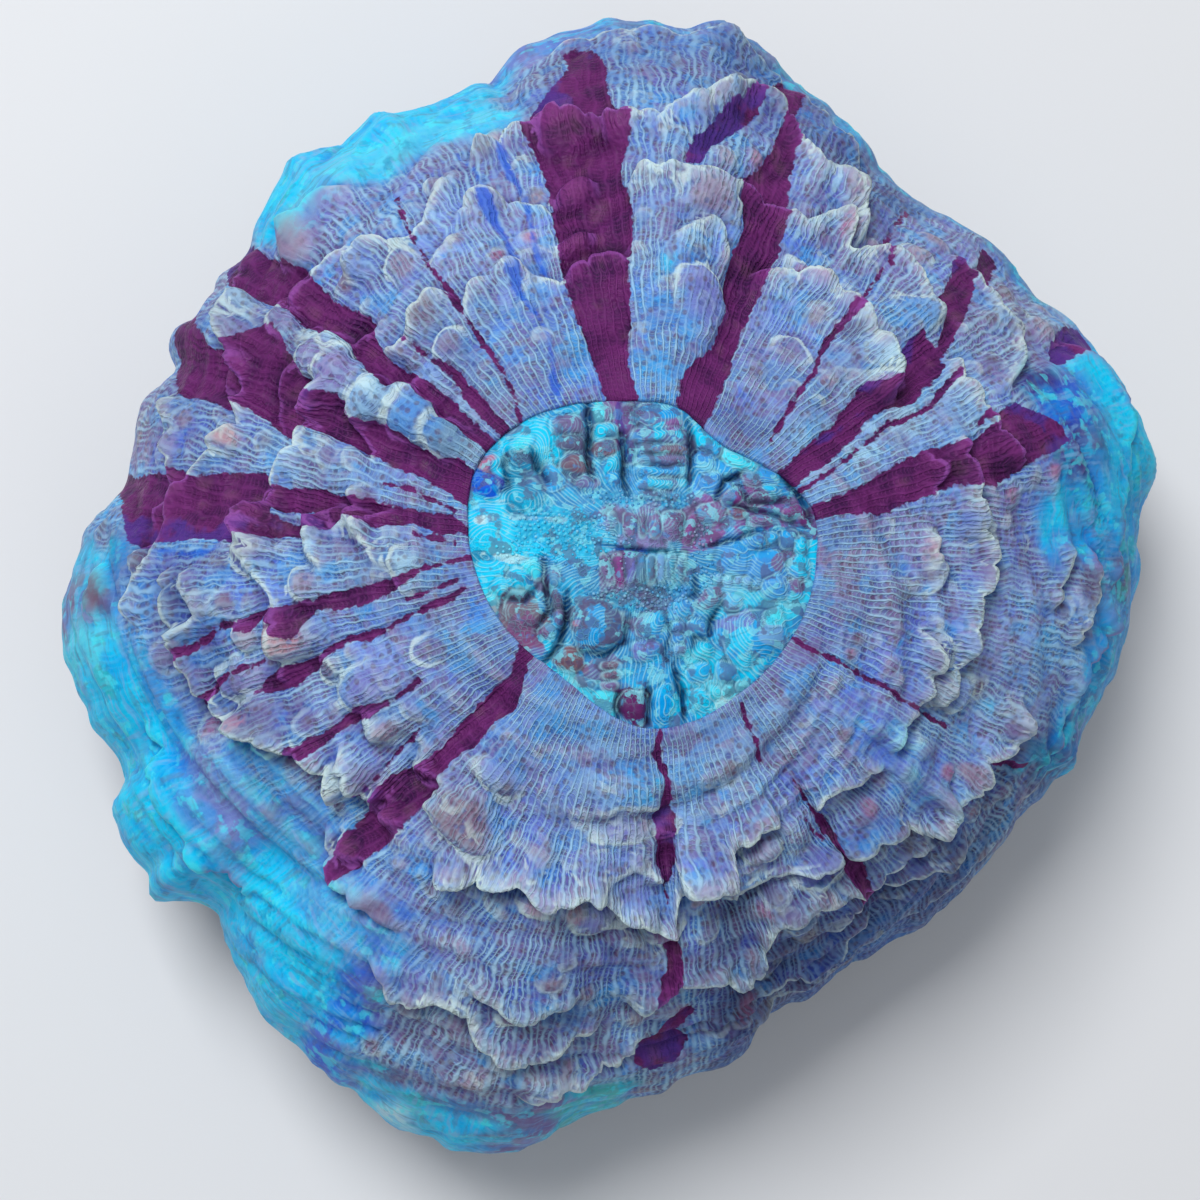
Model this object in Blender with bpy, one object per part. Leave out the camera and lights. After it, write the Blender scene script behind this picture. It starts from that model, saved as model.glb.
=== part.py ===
"""A large single coral polyp, life size: a lobed fleshy mantle round a sunken oral disc.

The animal grew as one piece, so it is one closed solid. Rings of points are lofted round the
polyp's upright axis: from the mouth out over the disc, up onto the mantle's inner lip, down the
terraced dome to the widest margin, under the skirt and in to the short stony foot, which is cut
off flat and is what the coral rests on.
"""

import math

import bmesh
import bpy

MM = 0.001  # every design value below is in millimetres

# Driving dimensions
AXIS_AT = (0.39, -3.80)  # where the polyp's axis stands, from the middle of the whole outline
SPOKES = 96              # points round each ring
DOME_TOP = 38.0          # height that the dome would reach over the axis
MARGIN_HEIGHT = 12.0     # height of the widest part of the skirt
DOME_FULLNESS = 2.2      # higher is flatter on top
DOME_ROUNDNESS = 0.55    # lower is steeper at the margin
LIP_HEIGHT = 0.9         # the mantle's inner lip stands this far above the disc's edge
DISC_SINK = 1.4          # the disc lies this far below the dome
MOUTH_MOUND = 2.2        # rise of the lip pads round the mouth
MOUTH_GROOVE = 1.6       # depth of the mouth between them
SKIRT_LIP_HEIGHT = 5.6   # the skirt's lowest edge above the surface that it rests over
SKIRT_WAVE = 1.2         # rise and fall of that edge from lobe to lobe
UNDERSIDE_HEIGHT = 10.5  # the hollow under the skirt, where it meets the foot
FOOT_TOP_RADIUS = 23.0
FOOT_CUT_RADIUS = 18.0

# Margin as seen from above: (angle in degrees from +X, distance from the axis)
MARGIN_OUTLINE = [
    (0, 41.9), (10, 43.6), (17, 46.0), (25, 46.0), (35, 44.3), (45, 43.7), (55, 42.6),
    (62, 44.0), (72, 47.5), (80, 50.5), (90, 49.6), (98, 48.4), (107, 45.3), (118, 45.5),
    (127, 45.6), (137, 42.2), (147, 41.2), (163, 40.5), (168, 41.5), (175, 43.8),
    (183, 44.8), (190, 43.9), (197, 42.0), (206, 43.4), (217, 40.5), (228, 42.6),
    (240, 43.3), (250, 44.4), (257, 43.6), (265, 40.3), (273, 38.5), (281, 36.5),
    (288, 33.6), (295, 34.8), (312, 35.6), (324, 36.0), (334, 36.8), (345, 38.8),
]

# Edge of the oral disc, in the same way
DISC_OUTLINE = [
    (0, 12.3), (19, 12.7), (56, 10.3), (80, 11.7), (98, 11.9), (145, 13.9), (169, 12.8),
    (200, 11.2), (225, 10.2), (240, 10.2), (271, 11.7), (313, 11.4),
]

# The two terraces that run round the mantle: (angle, share of the way from disc to margin)
INNER_TERRACE = [
    (0, 0.46), (24, 0.50), (51, 0.41), (75, 0.39), (99, 0.45), (118, 0.58), (140, 0.48),
    (174, 0.54), (190, 0.44), (205, 0.56), (218, 0.43), (245, 0.50), (258, 0.42),
    (273, 0.52), (292, 0.50), (318, 0.60), (336, 0.52),
]
OUTER_TERRACE = [
    (0, 0.72), (45, 0.74), (72, 0.74), (90, 0.68), (110, 0.76), (160, 0.76), (200, 0.80),
    (230, 0.74), (252, 0.74), (275, 0.74), (290, 0.80), (318, 0.80), (340, 0.76),
]
TERRACE_RISE = 1.3       # how far a terrace's edge swells out of the dome
TERRACE_LENGTH = 0.15    # share of the way over which it swells

# Lobes that swell or pinch the mantle between terraces: (angle, half width, rise)
LOBES = [
    (20, 8, 0.9), (48, 7, 0.7), (70, 5, -0.7), (85, 7, 0.8), (97, 4, -0.4), (116, 9, 0.8),
    (141, 4, -0.8), (147, 4, 1.6), (155, 5, -1.0), (170, 5, -0.6), (184, 8, 0.7),
    (222, 5, -1.0), (234, 7, 1.1), (252, 9, 0.6), (275, 4, -0.8), (292, 8, 0.7),
    (306, 3, -0.8), (325, 7, 0.9), (350, 9, 0.6),
]

DISC_RINGS = (0.22, 0.42, 0.62, 0.82)   # shares of the disc's radius
MANTLE_RINGS = (
    0.0, 0.04, 0.1, 0.18, 0.26, 0.34, 0.4, 0.45, 0.5, 0.55, 0.61, 0.67, 0.72, 0.77, 0.82,
    0.88, 0.94, 0.98,
)
# The skirt turned under: (share of the way from foot to margin, share of the drop to the edge)
SKIRT_RINGS = ((1.0, 0.0), (0.985, 0.4), (0.93, 0.8), (0.84, 1.0))
# The hollow behind the edge: (share of the way from foot to margin, share of the rise inside)
HOLLOW_RINGS = ((0.68, 0.12), (0.48, 0.5), (0.24, 0.85), (0.0, 1.0))
FOOT_RINGS = ((0.45, 0.55), (0.12, 0.2), (0.0, 0.0))  # (share of the flare, share of the height)

FLESH_COLOUR = (0.30, 0.40, 0.66, 1.0)
FLESH_ROUGHNESS = 0.42


def closed_curve(points):
    """A smooth closed curve through (angle, value) points, as a function of the angle."""
    knots = [(angle - 360.0, value) for angle, value in points[-2:]]
    knots += points
    knots += [(angle + 360.0, value) for angle, value in points[:2]]

    def value_at(angle):
        angle %= 360.0
        i = max(k for k in range(1, len(knots) - 2) if knots[k][0] <= angle)
        (x0, y0), (x1, y1), (x2, y2), (x3, y3) = knots[i - 1 : i + 3]
        t = (angle - x1) / (x2 - x1)
        slope1 = (y2 - y0) / (x2 - x0) * (x2 - x1)
        slope2 = (y3 - y1) / (x3 - x1) * (x2 - x1)
        return (
            (2 * t**3 - 3 * t**2 + 1) * y1
            + (t**3 - 2 * t**2 + t) * slope1
            + (3 * t**2 - 2 * t**3) * y2
            + (t**3 - t**2) * slope2
        )

    return value_at


margin_radius = closed_curve(MARGIN_OUTLINE)
disc_radius = closed_curve(DISC_OUTLINE)
inner_terrace = closed_curve(INNER_TERRACE)
outer_terrace = closed_curve(OUTER_TERRACE)


def angle_between(a, b):
    """The turn from b to a in degrees, from -180 to 180."""
    return (a - b + 180.0) % 360.0 - 180.0


def dome_height(share_of_margin):
    """Height of the plain dome at a share of the margin's radius."""
    rise = max(0.0, 1.0 - share_of_margin**DOME_FULLNESS) ** DOME_ROUNDNESS
    return MARGIN_HEIGHT + (DOME_TOP - MARGIN_HEIGHT) * rise


def terrace_swell(share, edge):
    """A terrace swells slowly towards its edge and falls away past it."""
    ahead = edge - share
    if ahead >= 0.0:
        return TERRACE_RISE * max(0.0, 1.0 - ahead / TERRACE_LENGTH) ** 1.5
    return TERRACE_RISE * max(0.0, 1.0 + 4.0 * ahead / TERRACE_LENGTH)


def lobe_swell(angle, share):
    """The radial lobes fade out at the disc and at the margin."""
    total = 0.0
    for at, half_width, rise in LOBES:
        total += rise * math.exp(-((angle_between(angle, at) / half_width) ** 2))
    return total * math.sin(math.pi * share) ** 0.7


def mantle_point(angle, share):
    """A point of the mantle's upper side: its radius and its height."""
    inner, outer = disc_radius(angle), margin_radius(angle)
    radius = inner + (outer - inner) * share
    height = dome_height(radius / outer)
    swell = terrace_swell(share, inner_terrace(angle))
    swell += terrace_swell(share, outer_terrace(angle))
    swell += lobe_swell(angle, share)
    swell += LIP_HEIGHT * math.exp(-((share / 0.05) ** 2))
    fade = 1.0 - max(0.0, share - 0.85) / 0.15  # the outline itself stays as measured
    return radius, height + swell * fade


def disc_point(angle, share):
    """A point of the oral disc: its radius and its height."""
    radius = disc_radius(angle) * share
    height = dome_height(radius / margin_radius(angle)) - DISC_SINK
    x = radius * math.cos(math.radians(angle))
    y = radius * math.sin(math.radians(angle)) - 1.0
    height += MOUTH_MOUND * math.exp(-((x / 4.2) ** 2) - (y / 3.4) ** 2)
    height -= MOUTH_GROOVE * math.exp(-((x / 2.6) ** 2) - (y / 0.9) ** 2)
    return radius, height


def skirt_edge_height(angle):
    """The skirt's lowest edge waves with the lobes of the margin."""
    a = math.radians(angle)
    return SKIRT_LIP_HEIGHT + SKIRT_WAVE * (0.6 * math.sin(5 * a + 0.8) + 0.4 * math.sin(9 * a))


def rings_at(angle):
    """Every (radius, height) down one spoke, from the disc's middle ring to the cut's edge."""
    outer = margin_radius(angle)
    edge = skirt_edge_height(angle)
    spoke = [disc_point(angle, share) for share in DISC_RINGS]
    radius, height = disc_point(angle, 1.0)
    spoke.append((radius - 0.5, height))
    spoke += [mantle_point(angle, share) for share in MANTLE_RINGS]
    for reach, drop in SKIRT_RINGS:
        radius = FOOT_TOP_RADIUS + (outer - FOOT_TOP_RADIUS) * reach
        spoke.append((radius, MARGIN_HEIGHT + (edge - MARGIN_HEIGHT) * drop))
    for reach, rise in HOLLOW_RINGS:
        radius = FOOT_TOP_RADIUS + (outer - FOOT_TOP_RADIUS) * reach
        spoke.append((radius, edge + (UNDERSIDE_HEIGHT - edge) * rise))
    for flare, up in FOOT_RINGS:
        radius = FOOT_CUT_RADIUS + (FOOT_TOP_RADIUS - FOOT_CUT_RADIUS) * flare
        spoke.append((radius, UNDERSIDE_HEIGHT * up))
    return spoke


def place(bm, radius, height, angle):
    """Adds the point at a radius, height and angle round the polyp's axis."""
    a = math.radians(angle)
    x = AXIS_AT[0] + radius * math.cos(a)
    y = AXIS_AT[1] + radius * math.sin(a)
    return bm.verts.new((x * MM, y * MM, height * MM))


def polyp_mesh():
    """The closed body: a fan at the mouth, lofted rings, and a fan for the flat cut."""
    bm = bmesh.new()
    angles = [360.0 * i / SPOKES for i in range(SPOKES)]
    spokes = [[place(bm, r, h, angle) for r, h in rings_at(angle)] for angle in angles]
    mouth = place(bm, 0.0, disc_point(0.0, 0.0)[1], 0.0)
    cut_middle = place(bm, 0.0, 0.0, 0.0)
    for i, spoke in enumerate(spokes):
        following = spokes[(i + 1) % SPOKES]
        bm.faces.new((mouth, spoke[0], following[0]))
        for j in range(len(spoke) - 1):
            bm.faces.new((spoke[j], spoke[j + 1], following[j + 1], following[j]))
        bm.faces.new((cut_middle, following[-1], spoke[-1]))
    bmesh.ops.triangulate(bm, faces=bm.faces[:])
    mesh = bpy.data.meshes.new("coral_polyp")
    bm.to_mesh(mesh)
    bm.free()
    mesh.shade_smooth()
    mesh.set_sharp_from_angle(angle=math.radians(50))
    return mesh


def flesh_material():
    """Blue-lavender flesh with a wet satin surface."""
    material = bpy.data.materials.new("flesh")
    material.use_nodes = True
    shader = material.node_tree.nodes["Principled BSDF"]
    shader.inputs["Base Color"].default_value = FLESH_COLOUR
    shader.inputs["Roughness"].default_value = FLESH_ROUGHNESS
    shader.inputs["Metallic"].default_value = 0.0
    return material


def clear_scene():
    """Removes whatever the scene holds."""
    for thing in list(bpy.data.objects):
        bpy.data.objects.remove(thing)


def build():
    """Makes the one object of the part."""
    clear_scene()
    mesh = polyp_mesh()
    mesh.materials.append(flesh_material())
    polyp = bpy.data.objects.new("coral_polyp", mesh)
    bpy.context.scene.collection.objects.link(polyp)


build()
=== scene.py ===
# %% [markdown]
# # A large single coral polyp
#
# The real animal is one fleshy polyp, about as wide as a saucer. A thick, lobed mantle falls in
# terraces from a sunken oral disc, and its skirt hides a short stony cup. Wine-red bands run down
# it like spokes. The plain solid of the frame already has the size, so this lesson gives it skin:
# a mantle and a disc made from formulas, and a ribbed stone foot made by Geometry Nodes.

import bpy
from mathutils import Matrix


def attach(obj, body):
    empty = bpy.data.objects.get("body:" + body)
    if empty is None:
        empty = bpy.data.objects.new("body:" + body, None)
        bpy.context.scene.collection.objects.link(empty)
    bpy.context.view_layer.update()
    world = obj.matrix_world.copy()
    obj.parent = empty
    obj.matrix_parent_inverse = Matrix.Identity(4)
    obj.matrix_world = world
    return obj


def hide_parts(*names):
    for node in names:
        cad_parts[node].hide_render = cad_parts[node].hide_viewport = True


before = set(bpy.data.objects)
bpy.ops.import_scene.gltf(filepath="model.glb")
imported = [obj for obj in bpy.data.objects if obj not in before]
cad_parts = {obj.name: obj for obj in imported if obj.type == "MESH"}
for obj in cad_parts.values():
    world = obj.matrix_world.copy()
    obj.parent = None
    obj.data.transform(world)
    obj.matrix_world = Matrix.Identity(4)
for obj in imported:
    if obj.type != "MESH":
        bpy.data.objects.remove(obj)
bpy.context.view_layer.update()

# %% [markdown]
# ## Tools of the trade
#
# All sizes below are in millimetres, and a mesh is turned into metres when it is made. Angles run
# anticlockwise from +X about the polyp's axis. A "share" is how far down the mantle a thing is: 0
# at the disc's rim and 1 at the widest margin; the tables give it in hundredths. Curves through a
# few chosen points are smooth Hermite curves, and everything irregular comes from one kind of
# seeded random hills.

# %% Curves, steps and random hills
import math
import bpy
import numpy as np
from mathutils import Matrix, Vector

MM = 0.001


def hermite(x, y, slope, at):
    """Reads a smooth curve through the points (x, y), with the slopes given, at other places."""
    i = np.clip(np.searchsorted(x, at) - 1, 0, len(x) - 2)
    width = x[i + 1] - x[i]
    t = np.clip((at - x[i]) / width, 0.0, 1.0)
    rising = t * t * (3 - 2 * t)
    bend = slope[i] * (t**3 - 2 * t**2 + t) + slope[i + 1] * (t**3 - t**2)
    return y[i] * (1 - rising) + y[i + 1] * rising + width * bend


def open_curve(points, at):
    """A smooth open curve through (place, value) points."""
    x, y = np.array(points, float).T
    return hermite(x, y, np.gradient(y, x), at)


def closed_curve(points, angle):
    """A smooth closed curve through (angle, value) points."""
    x, y = np.array(points, float).T
    x = np.concatenate((x[-2:] - 360, x, x[:2] + 360))
    y = np.concatenate((y[-2:], y, y[:2]))
    slope = np.zeros(len(x))
    slope[1:-1] = (y[2:] - y[:-2]) / (x[2:] - x[:-2])
    return hermite(x, y, slope, np.mod(angle, 360.0))


def step(low, high, value):
    """0 below low, 1 above high and smooth between them; low may be the higher one."""
    t = np.clip((value - low) / (high - low), 0.0, 1.0)
    return t * t * (3 - 2 * t)


def bump(value, centre, width):
    """A bell of height 1."""
    return np.exp(-(((value - centre) / width) ** 2))


def hills(x, y, seed, around=97):
    """Smooth random hills from -1 to 1, one or so to a unit square. x repeats after `around`."""
    heights = np.random.default_rng(seed).uniform(-1.0, 1.0, (around, 97))
    left, low = np.floor(x).astype(int), np.floor(y).astype(int)
    across, up = x - left, y - low
    across, up = across * across * (3 - 2 * across), up * up * (3 - 2 * up)
    corner = [[heights[(left + i) % around, (low + j) % 97] for i in (0, 1)] for j in (0, 1)]
    near, far = [row[0] * (1 - across) + row[1] * across for row in corner]
    return near * (1 - up) + far * up


# %% [markdown]
# ## The colours of the flesh
#
# Under the blue light of a reef tank the skin glows in a few families: lavender blues, cyans, dull
# mauves and browns, and the wine red of the bands. They are kept here as a paint chart, in the
# 0 to 255 values that a person mixes by eye, and turned into the linear values that Blender uses.

# %% Paint chart
CHART = {
    "skin": (92, 124, 200), "pale": (118, 166, 214), "sea": (66, 144, 216),
    "sky": (40, 158, 226), "cyan": (0, 196, 238), "lagoon": (0, 152, 224),
    "glow": (70, 220, 238), "royal": (16, 88, 208), "gentian": (62, 100, 214),
    "deep": (54, 72, 142), "slate": (42, 56, 96), "shadow_navy": (26, 32, 70),
    "lavender": (112, 112, 188), "lilac": (134, 124, 178), "mauve": (114, 94, 140),
    "dusk": (88, 78, 112), "brown": (118, 84, 96), "beige": (150, 126, 146),
    "cream": (160, 206, 230), "ivory": (205, 228, 226), "teal": (24, 118, 164),
    "haze": (84, 128, 160), "green": (50, 182, 166), "wine": (92, 32, 92),
    "port": (60, 22, 70), "claret": (128, 54, 128), "magenta": (150, 66, 150),
    "violet": (70, 50, 138), "rose": (176, 108, 140), "orange": (190, 110, 100),
    "grey": (112, 122, 150), "belly": (84, 112, 150), "indigo": (50, 38, 116), "orchid": (150, 84, 168),
    "reef": (36, 130, 178), "foam": (122, 212, 228), "blush": (158, 118, 158), "umber": (84, 52, 72),
    "periwinkle": (126, 152, 220), "mist": (160, 222, 234),
}


def paint(name):
    """A colour of the chart as linear red, green and blue."""
    value = np.array(CHART[name]) / 255.0
    return np.where(value < 0.04045, value / 12.92, ((value + 0.055) / 1.055) ** 2.4)


def lay(tint, name, weight):
    """Lays a colour over the tints already there, as thickly as the weight says."""
    tint += (paint(name) - tint) * weight[..., None]


# %% [markdown]
# ## The mantle's plain shape
#
# The mantle is a ring: it starts at the disc's rim, swells over a low dome and turns under at the
# margin. The margin and the rim are drawn with a few points each, at the same places as in the
# solid. A grid of 720 spokes and 420 steps holds it while the relief is worked out. The steps are
# closer together near the margin, where the dome turns steep.

# %% Outline, rim and dome
AXIS_AT = (0.39, -3.80)
DOME_TOP, MARGIN_HEIGHT = 38.0, 12.0
DOME_FULLNESS, DOME_ROUNDNESS = 2.2, 0.55
LIP_HEIGHT, DISC_SINK = 0.12, 0.16
SKIRT_LIP_HEIGHT, SKIRT_WAVE, UNDERSIDE_HEIGHT = 5.6, 1.2, 10.5
FOOT_TOP_RADIUS, FOOT_CUT_RADIUS = 23.0, 18.0

MARGIN_OUTLINE = [  # (angle, distance from the axis)
    (0, 41.9), (10, 43.6), (17, 46), (25, 46), (35, 44.3), (45, 43.7), (55, 42.6), (62, 44), (72, 47.5),
    (80, 50.5), (90, 49.6), (98, 48.4), (107, 45.3), (118, 45.5), (127, 45.6), (137, 42.2), (147, 41.2),
    (163, 40.5), (168, 41.5), (175, 43.8), (183, 44.8), (190, 43.9), (197, 42), (206, 43.4), (217, 40.5),
    (228, 42.6), (240, 43.3), (250, 44.4), (257, 43.6), (265, 40.3), (273, 38.5), (281, 36.5), (288, 33.6),
    (295, 34.8), (312, 35.6), (324, 36), (334, 36.8), (345, 38.8),
]
DISC_OUTLINE = [
    (0, 12.3), (19, 12.7), (56, 10.3), (80, 11.7), (98, 11.9), (145, 13.9), (169, 12.8), (200, 11.2),
    (225, 10.2), (240, 10.2), (271, 11.7), (313, 11.4),
]
BROAD_LOBES = [  # (angle, half width in degrees, rise)
    (20, 8, 0.9), (48, 7, 0.7), (70, 5, -0.7), (85, 7, 0.8), (97, 4, -0.4), (116, 9, 0.8), (141, 4, -0.8),
    (147, 4, 1.6), (155, 5, -1), (170, 5, -0.6), (184, 8, 0.7), (222, 5, -1), (234, 7, 1.1), (252, 9, 0.6),
    (275, 4, -0.8), (292, 8, 0.7), (306, 3, -0.8), (325, 7, 0.9), (350, 9, 0.6),
]
MARGIN_TONGUES = [  # small notches and tongues of the margin: (angle, half width, out or in)
    (7, 4, -0.4), (26, 9, -0.4), (38, 3, -0.7), (52, 5, -0.5), (60, 1.6, -0.6), (74, 6, -0.4),
    (84.5, 2.2, -1.2), (92, 1.2, 0.5), (104, 1.5, -1.1), (117, 1, 0.8), (121.5, 2.2, -1.1), (127, 1.4, 0.5),
    (140, 2, 0.8), (144.5, 2.2, 1), (149, 2.6, 1.7), (157, 3.6, 1.6), (163, 3, 0.9), (171, 4, 0.6),
    (199, 2, -0.7), (202, 1.2, 0.5), (212, 1.6, 1.4), (218, 3, -0.7), (232, 3, -0.5), (257, 3, 0.7),
    (285.5, 4.4, 2.4), (293, 2, -0.4), (302, 5, -1.5), (309, 4, -1.6), (318, 4, -0.7), (331, 5, -0.5),
    (341, 1.2, 0.5), (346, 3, -0.3),
]
SPOKES, STEPS = 720, 420

angle = np.arange(SPOKES) * 360.0 / SPOKES
share = 1.0 - (1.0 - np.linspace(0.0, 1.0, STEPS)) ** 1.7


def dome_height(share_of_margin):
    """Height of the plain dome at a share of the margin's radius."""
    rise = np.maximum(0.0, 1.0 - share_of_margin**DOME_FULLNESS) ** DOME_ROUNDNESS
    return MARGIN_HEIGHT + (DOME_TOP - MARGIN_HEIGHT) * rise


def around(radius, degrees, height):
    """Points at a radius, angle and height round the polyp's axis."""
    turn = np.radians(degrees) + 0.0 * radius
    x, y = AXIS_AT[0] + radius * np.cos(turn), AXIS_AT[1] + radius * np.sin(turn)
    return np.stack((x, y, height + 0.0 * radius), axis=-1)


def turned_near(degrees, middle):
    """The same angles, counted so that they lie within half a turn of the middle."""
    return middle + (degrees - middle + 180.0) % 360.0 - 180.0


inner, outer = closed_curve(DISC_OUTLINE, angle), closed_curve(MARGIN_OUTLINE, angle)
radius = inner + (outer - inner) * share[:, None]
swell = sum(rise * bump(turned_near(angle, at), at, half) for at, half, rise in BROAD_LOBES)
height = dome_height(radius / outer)
tongues = sum(reach * bump(turned_near(angle, at), at, half) for at, half, reach in MARGIN_TONGUES)
radius = radius + tongues * step(0.55, 1.0, share)[:, None]
height += swell * np.sin(np.pi * share[:, None]) ** 0.7 * (1 - step(0.85, 1.0, share)[:, None])
height += LIP_HEIGHT * bump(share, 0.0, 0.05)[:, None]
plain = around(radius, angle, height)
down = np.gradient(plain, axis=0)
length = np.cumsum(np.linalg.norm(np.diff(plain, axis=0, prepend=plain[:1]), axis=-1), axis=0)
print("spokes run", round(length[-1].min(), 1), "to", round(length[-1].max(), 1), "mm down the flesh")

# %% Which way is out, and which way is down the slope
down /= np.linalg.norm(down, axis=-1, keepdims=True)
sideways = np.roll(plain, -1, axis=1) - np.roll(plain, 1, axis=1)
sideways /= np.linalg.norm(sideways, axis=-1, keepdims=True)
outwards = np.cross(down, sideways)
outwards /= np.linalg.norm(outwards, axis=-1, keepdims=True)
arc = np.radians(angle) * radius  # how far round, in mm, from the first spoke
from_behind = np.radians((angle + 180.0) % 360.0) * radius
by_first_spoke = step(40.0, 15.0, np.abs(turned_near(angle, 0.0)))


def on_flesh(width, run, seed):
    """Random hills of a width and a run in mm on the flesh, without a seam at the first spoke."""
    hill = hills(arc / width, length / run, seed)
    other = hills(from_behind / width + 31.5, length / run, seed)
    return hill * (1 - by_first_spoke) + other * by_first_spoke

# %% [markdown]
# ## Terraces
#
# The flesh hangs over itself in shelves. Each shelf swells slowly, ends in a thin rolled edge with a
# pale line, partly its own paleness and partly a painted highlight, and drops sharply into its own
# shade. A modifier can't do that, since the edge has to lean out over what is below it, so each edge
# is drawn as a line of (angle, share) points and the grid is pushed up and outwards along it. Small
# random waves make the edge frilly.

# %% The shelf edges
TERRACES = [  # (how bold, [(angle, share in hundredths), ...])
    (1.5, [(336, 50), (344, 49), (352, 46), (365, 46), (368, 43), (374, 40.5), (382, 40)]),
    (1.3, [(17, 53), (20, 51.5), (25, 50), (30, 51), (35, 54)]),
    (0.7, [(355, 32), (362, 31), (366, 29.5), (368, 27)]), (1, [(357, 68), (365, 68)]),
    (0.9, [(353, 76), (360, 78), (365, 76)]),
    (1.5, [(35, 36), (40, 40), (46, 43), (50, 45.5), (60, 48), (66, 42), (69, 40)]),
    (1.1, [(41, 60), (55, 66), (57.5, 60), (59.5, 66), (65, 57.5), (78, 50), (91, 48.5)]),
    (1, [(28, 60), (30, 67), (38, 75), (46, 80)]),
    (1.6, [(57, 69), (61, 76), (67, 71), (75.5, 80), (79.5, 73.5), (84, 65), (96, 65.5), (100, 69),
     (111, 71)]),
    (0.7, [(75, 35), (77, 38), (84, 35)]), (0.6, [(104.5, 28), (110, 31)]),
    (0.6, [(111, 34), (113, 37), (115.5, 38)]), (0.6, [(119, 36), (121, 35), (124.5, 29)]),
    (0.8, [(104, 47), (107, 50), (112, 56), (116, 55)]), (0.6, [(119, 48), (124.5, 46)]),
    (0.8, [(115, 65), (117, 62), (121, 57), (125, 54), (128, 58), (133, 60)]),
    (1.1, [(125, 37), (131, 39), (134, 37.5), (138, 40)]), (0.8, [(131, 66), (136, 70), (141, 71)]),
    (0.8, [(126, 74), (130, 80), (134, 84)]), (0.8, [(150, 38), (153, 34), (158, 29)]),
    (0.7, [(151, 50), (154, 46), (159, 44.5)]),
    (1.6, [(149, 53), (152, 51), (160, 50.5), (168, 53), (170, 51.5), (173, 56.5), (178, 52)]),
    (1, [(155, 70), (160, 70), (164, 74), (176, 75), (184, 79)]),
    (1.1, [(143, 83), (146, 86), (148, 83), (150, 77), (153, 71), (157, 69)]),
    (0.9, [(157, 90), (162, 87), (168, 80), (172, 80)]), (0.8, [(168, 20), (172, 26), (181, 21)]),
    (0.8, [(169, 37), (173, 38), (181, 35)]), (0.8, [(180, 65), (185, 62), (188, 68)]),
    (1.5, [(180, 71), (184, 69), (195, 70.5), (200, 67), (203, 62), (209, 54.5), (217, 57)]),
    (0.6, [(196, 39), (201, 39.5)]), (0.7, [(208, 37), (213, 39.5)]),
    (0.8, [(211, 45), (213, 48), (217, 50), (223, 46)]), (0.9, [(220, 64), (226, 66.5), (231, 63)]),
    (1.8, [(236, 51.5), (244, 46), (251, 42), (254, 44), (259, 40.5), (263, 44), (271, 52.5), (275, 55),
     (278, 47.5), (286, 50), (290, 45), (298, 42)]),
    (0.7, [(257, 38), (262, 37), (270, 38), (273, 40)]), (0.5, [(259, 22), (268, 21), (274, 21)]),
    (0.8, [(277, 38), (280, 42), (287, 47)]), (1, [(285, 57), (292, 56), (297, 54), (301, 58), (306, 56)]),
    (0.9, [(307, 41), (313, 42), (321, 46)]),
    (1.5, [(307, 59), (313, 62), (317, 66), (321, 76), (325, 72)]),
    (0.8, [(306, 71), (310, 72.5), (313, 72), (319, 77)]),
    (1.4, [(324, 72), (328.5, 76), (334, 73), (337, 76), (342, 74)]),
    (0.9, [(325, 46), (332, 43.5), (339, 41), (345, 39), (348, 33)]),
    (0.8, [(248, 64), (254.5, 67), (261, 64)]),
    (1.2, [(236, 73), (239, 75), (249, 70), (253, 76), (265, 74.5)]),
    (1.8, [(269, 74), (280, 73), (285.5, 81), (287, 80), (291, 73), (300, 72), (306, 75)]),
    (1, [(258, 86), (266, 87), (271, 84)]), (1, [(300, 83), (306, 80), (316, 82), (323, 85)]),
    (0.9, [(288, 90), (300, 92), (306, 88)]), (0.7, [(2, 86), (12, 84), (22, 87), (30, 85)]),
    (0.7, [(62, 88), (74, 90), (86, 87), (98, 90)]), (0.7, [(196, 88), (207, 85), (219, 88)]),
    (0.7, [(338, 88), (348, 85), (358, 88)]), (0.7, [(220, 34.5), (224, 36), (228, 34.5)]),
    (0.7, [(219, 46), (223, 47.5), (228, 45)]), (0.7, [(221, 59), (224, 60), (227, 58)]),
    (0.7, [(165, 31), (170, 30), (174, 31)]), (0.7, [(139, 28.5), (142, 29), (145.5, 31)]),
    (0.6, [(137.5, 44), (139.5, 47.5), (142, 49)]), (0.8, [(135.5, 71.5), (139, 73), (141, 72)]),
    (0.6, [(149, 61), (153, 60), (157, 57.5)]), (0.6, [(92, 30), (98, 31.5), (104, 29.5)]),
    (0.6, [(15, 30), (19, 31), (22.5, 30)]), (0.4, [(286, 94), (300, 95), (320, 94), (345, 94)]),
    (0.4, [(40, 95), (60, 96), (80, 95), (100, 95.5)]),
    (0.75, [(177, 52.5), (180, 50), (184, 44.5), (188, 45), (192, 47), (197, 52)]),
]
RISE_LENGTH = 5.0   # a shelf swells over this distance
FALL_LENGTH = 0.8   # and drops over this one
EDGE_FRILL = 0.30   # how far the edge wanders
EDGE_LEAD = 1.1     # an edge that is pushed out is seen this much farther down than it starts
TONGUE = 2.6        # width of the tongues that the edge is cut into

shelf = np.zeros_like(radius)    # height, along the outward direction
lean = np.zeros_like(radius)     # shift down the slope, out over the drop
shade_mark = np.zeros_like(radius)
rim_away = np.full_like(radius, 9.0)   # distance in mm below the nearest rolled edge
edge_paleness_and_highlight = np.zeros_like(radius)       # and how pale that edge is, partly a painted highlight


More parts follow.
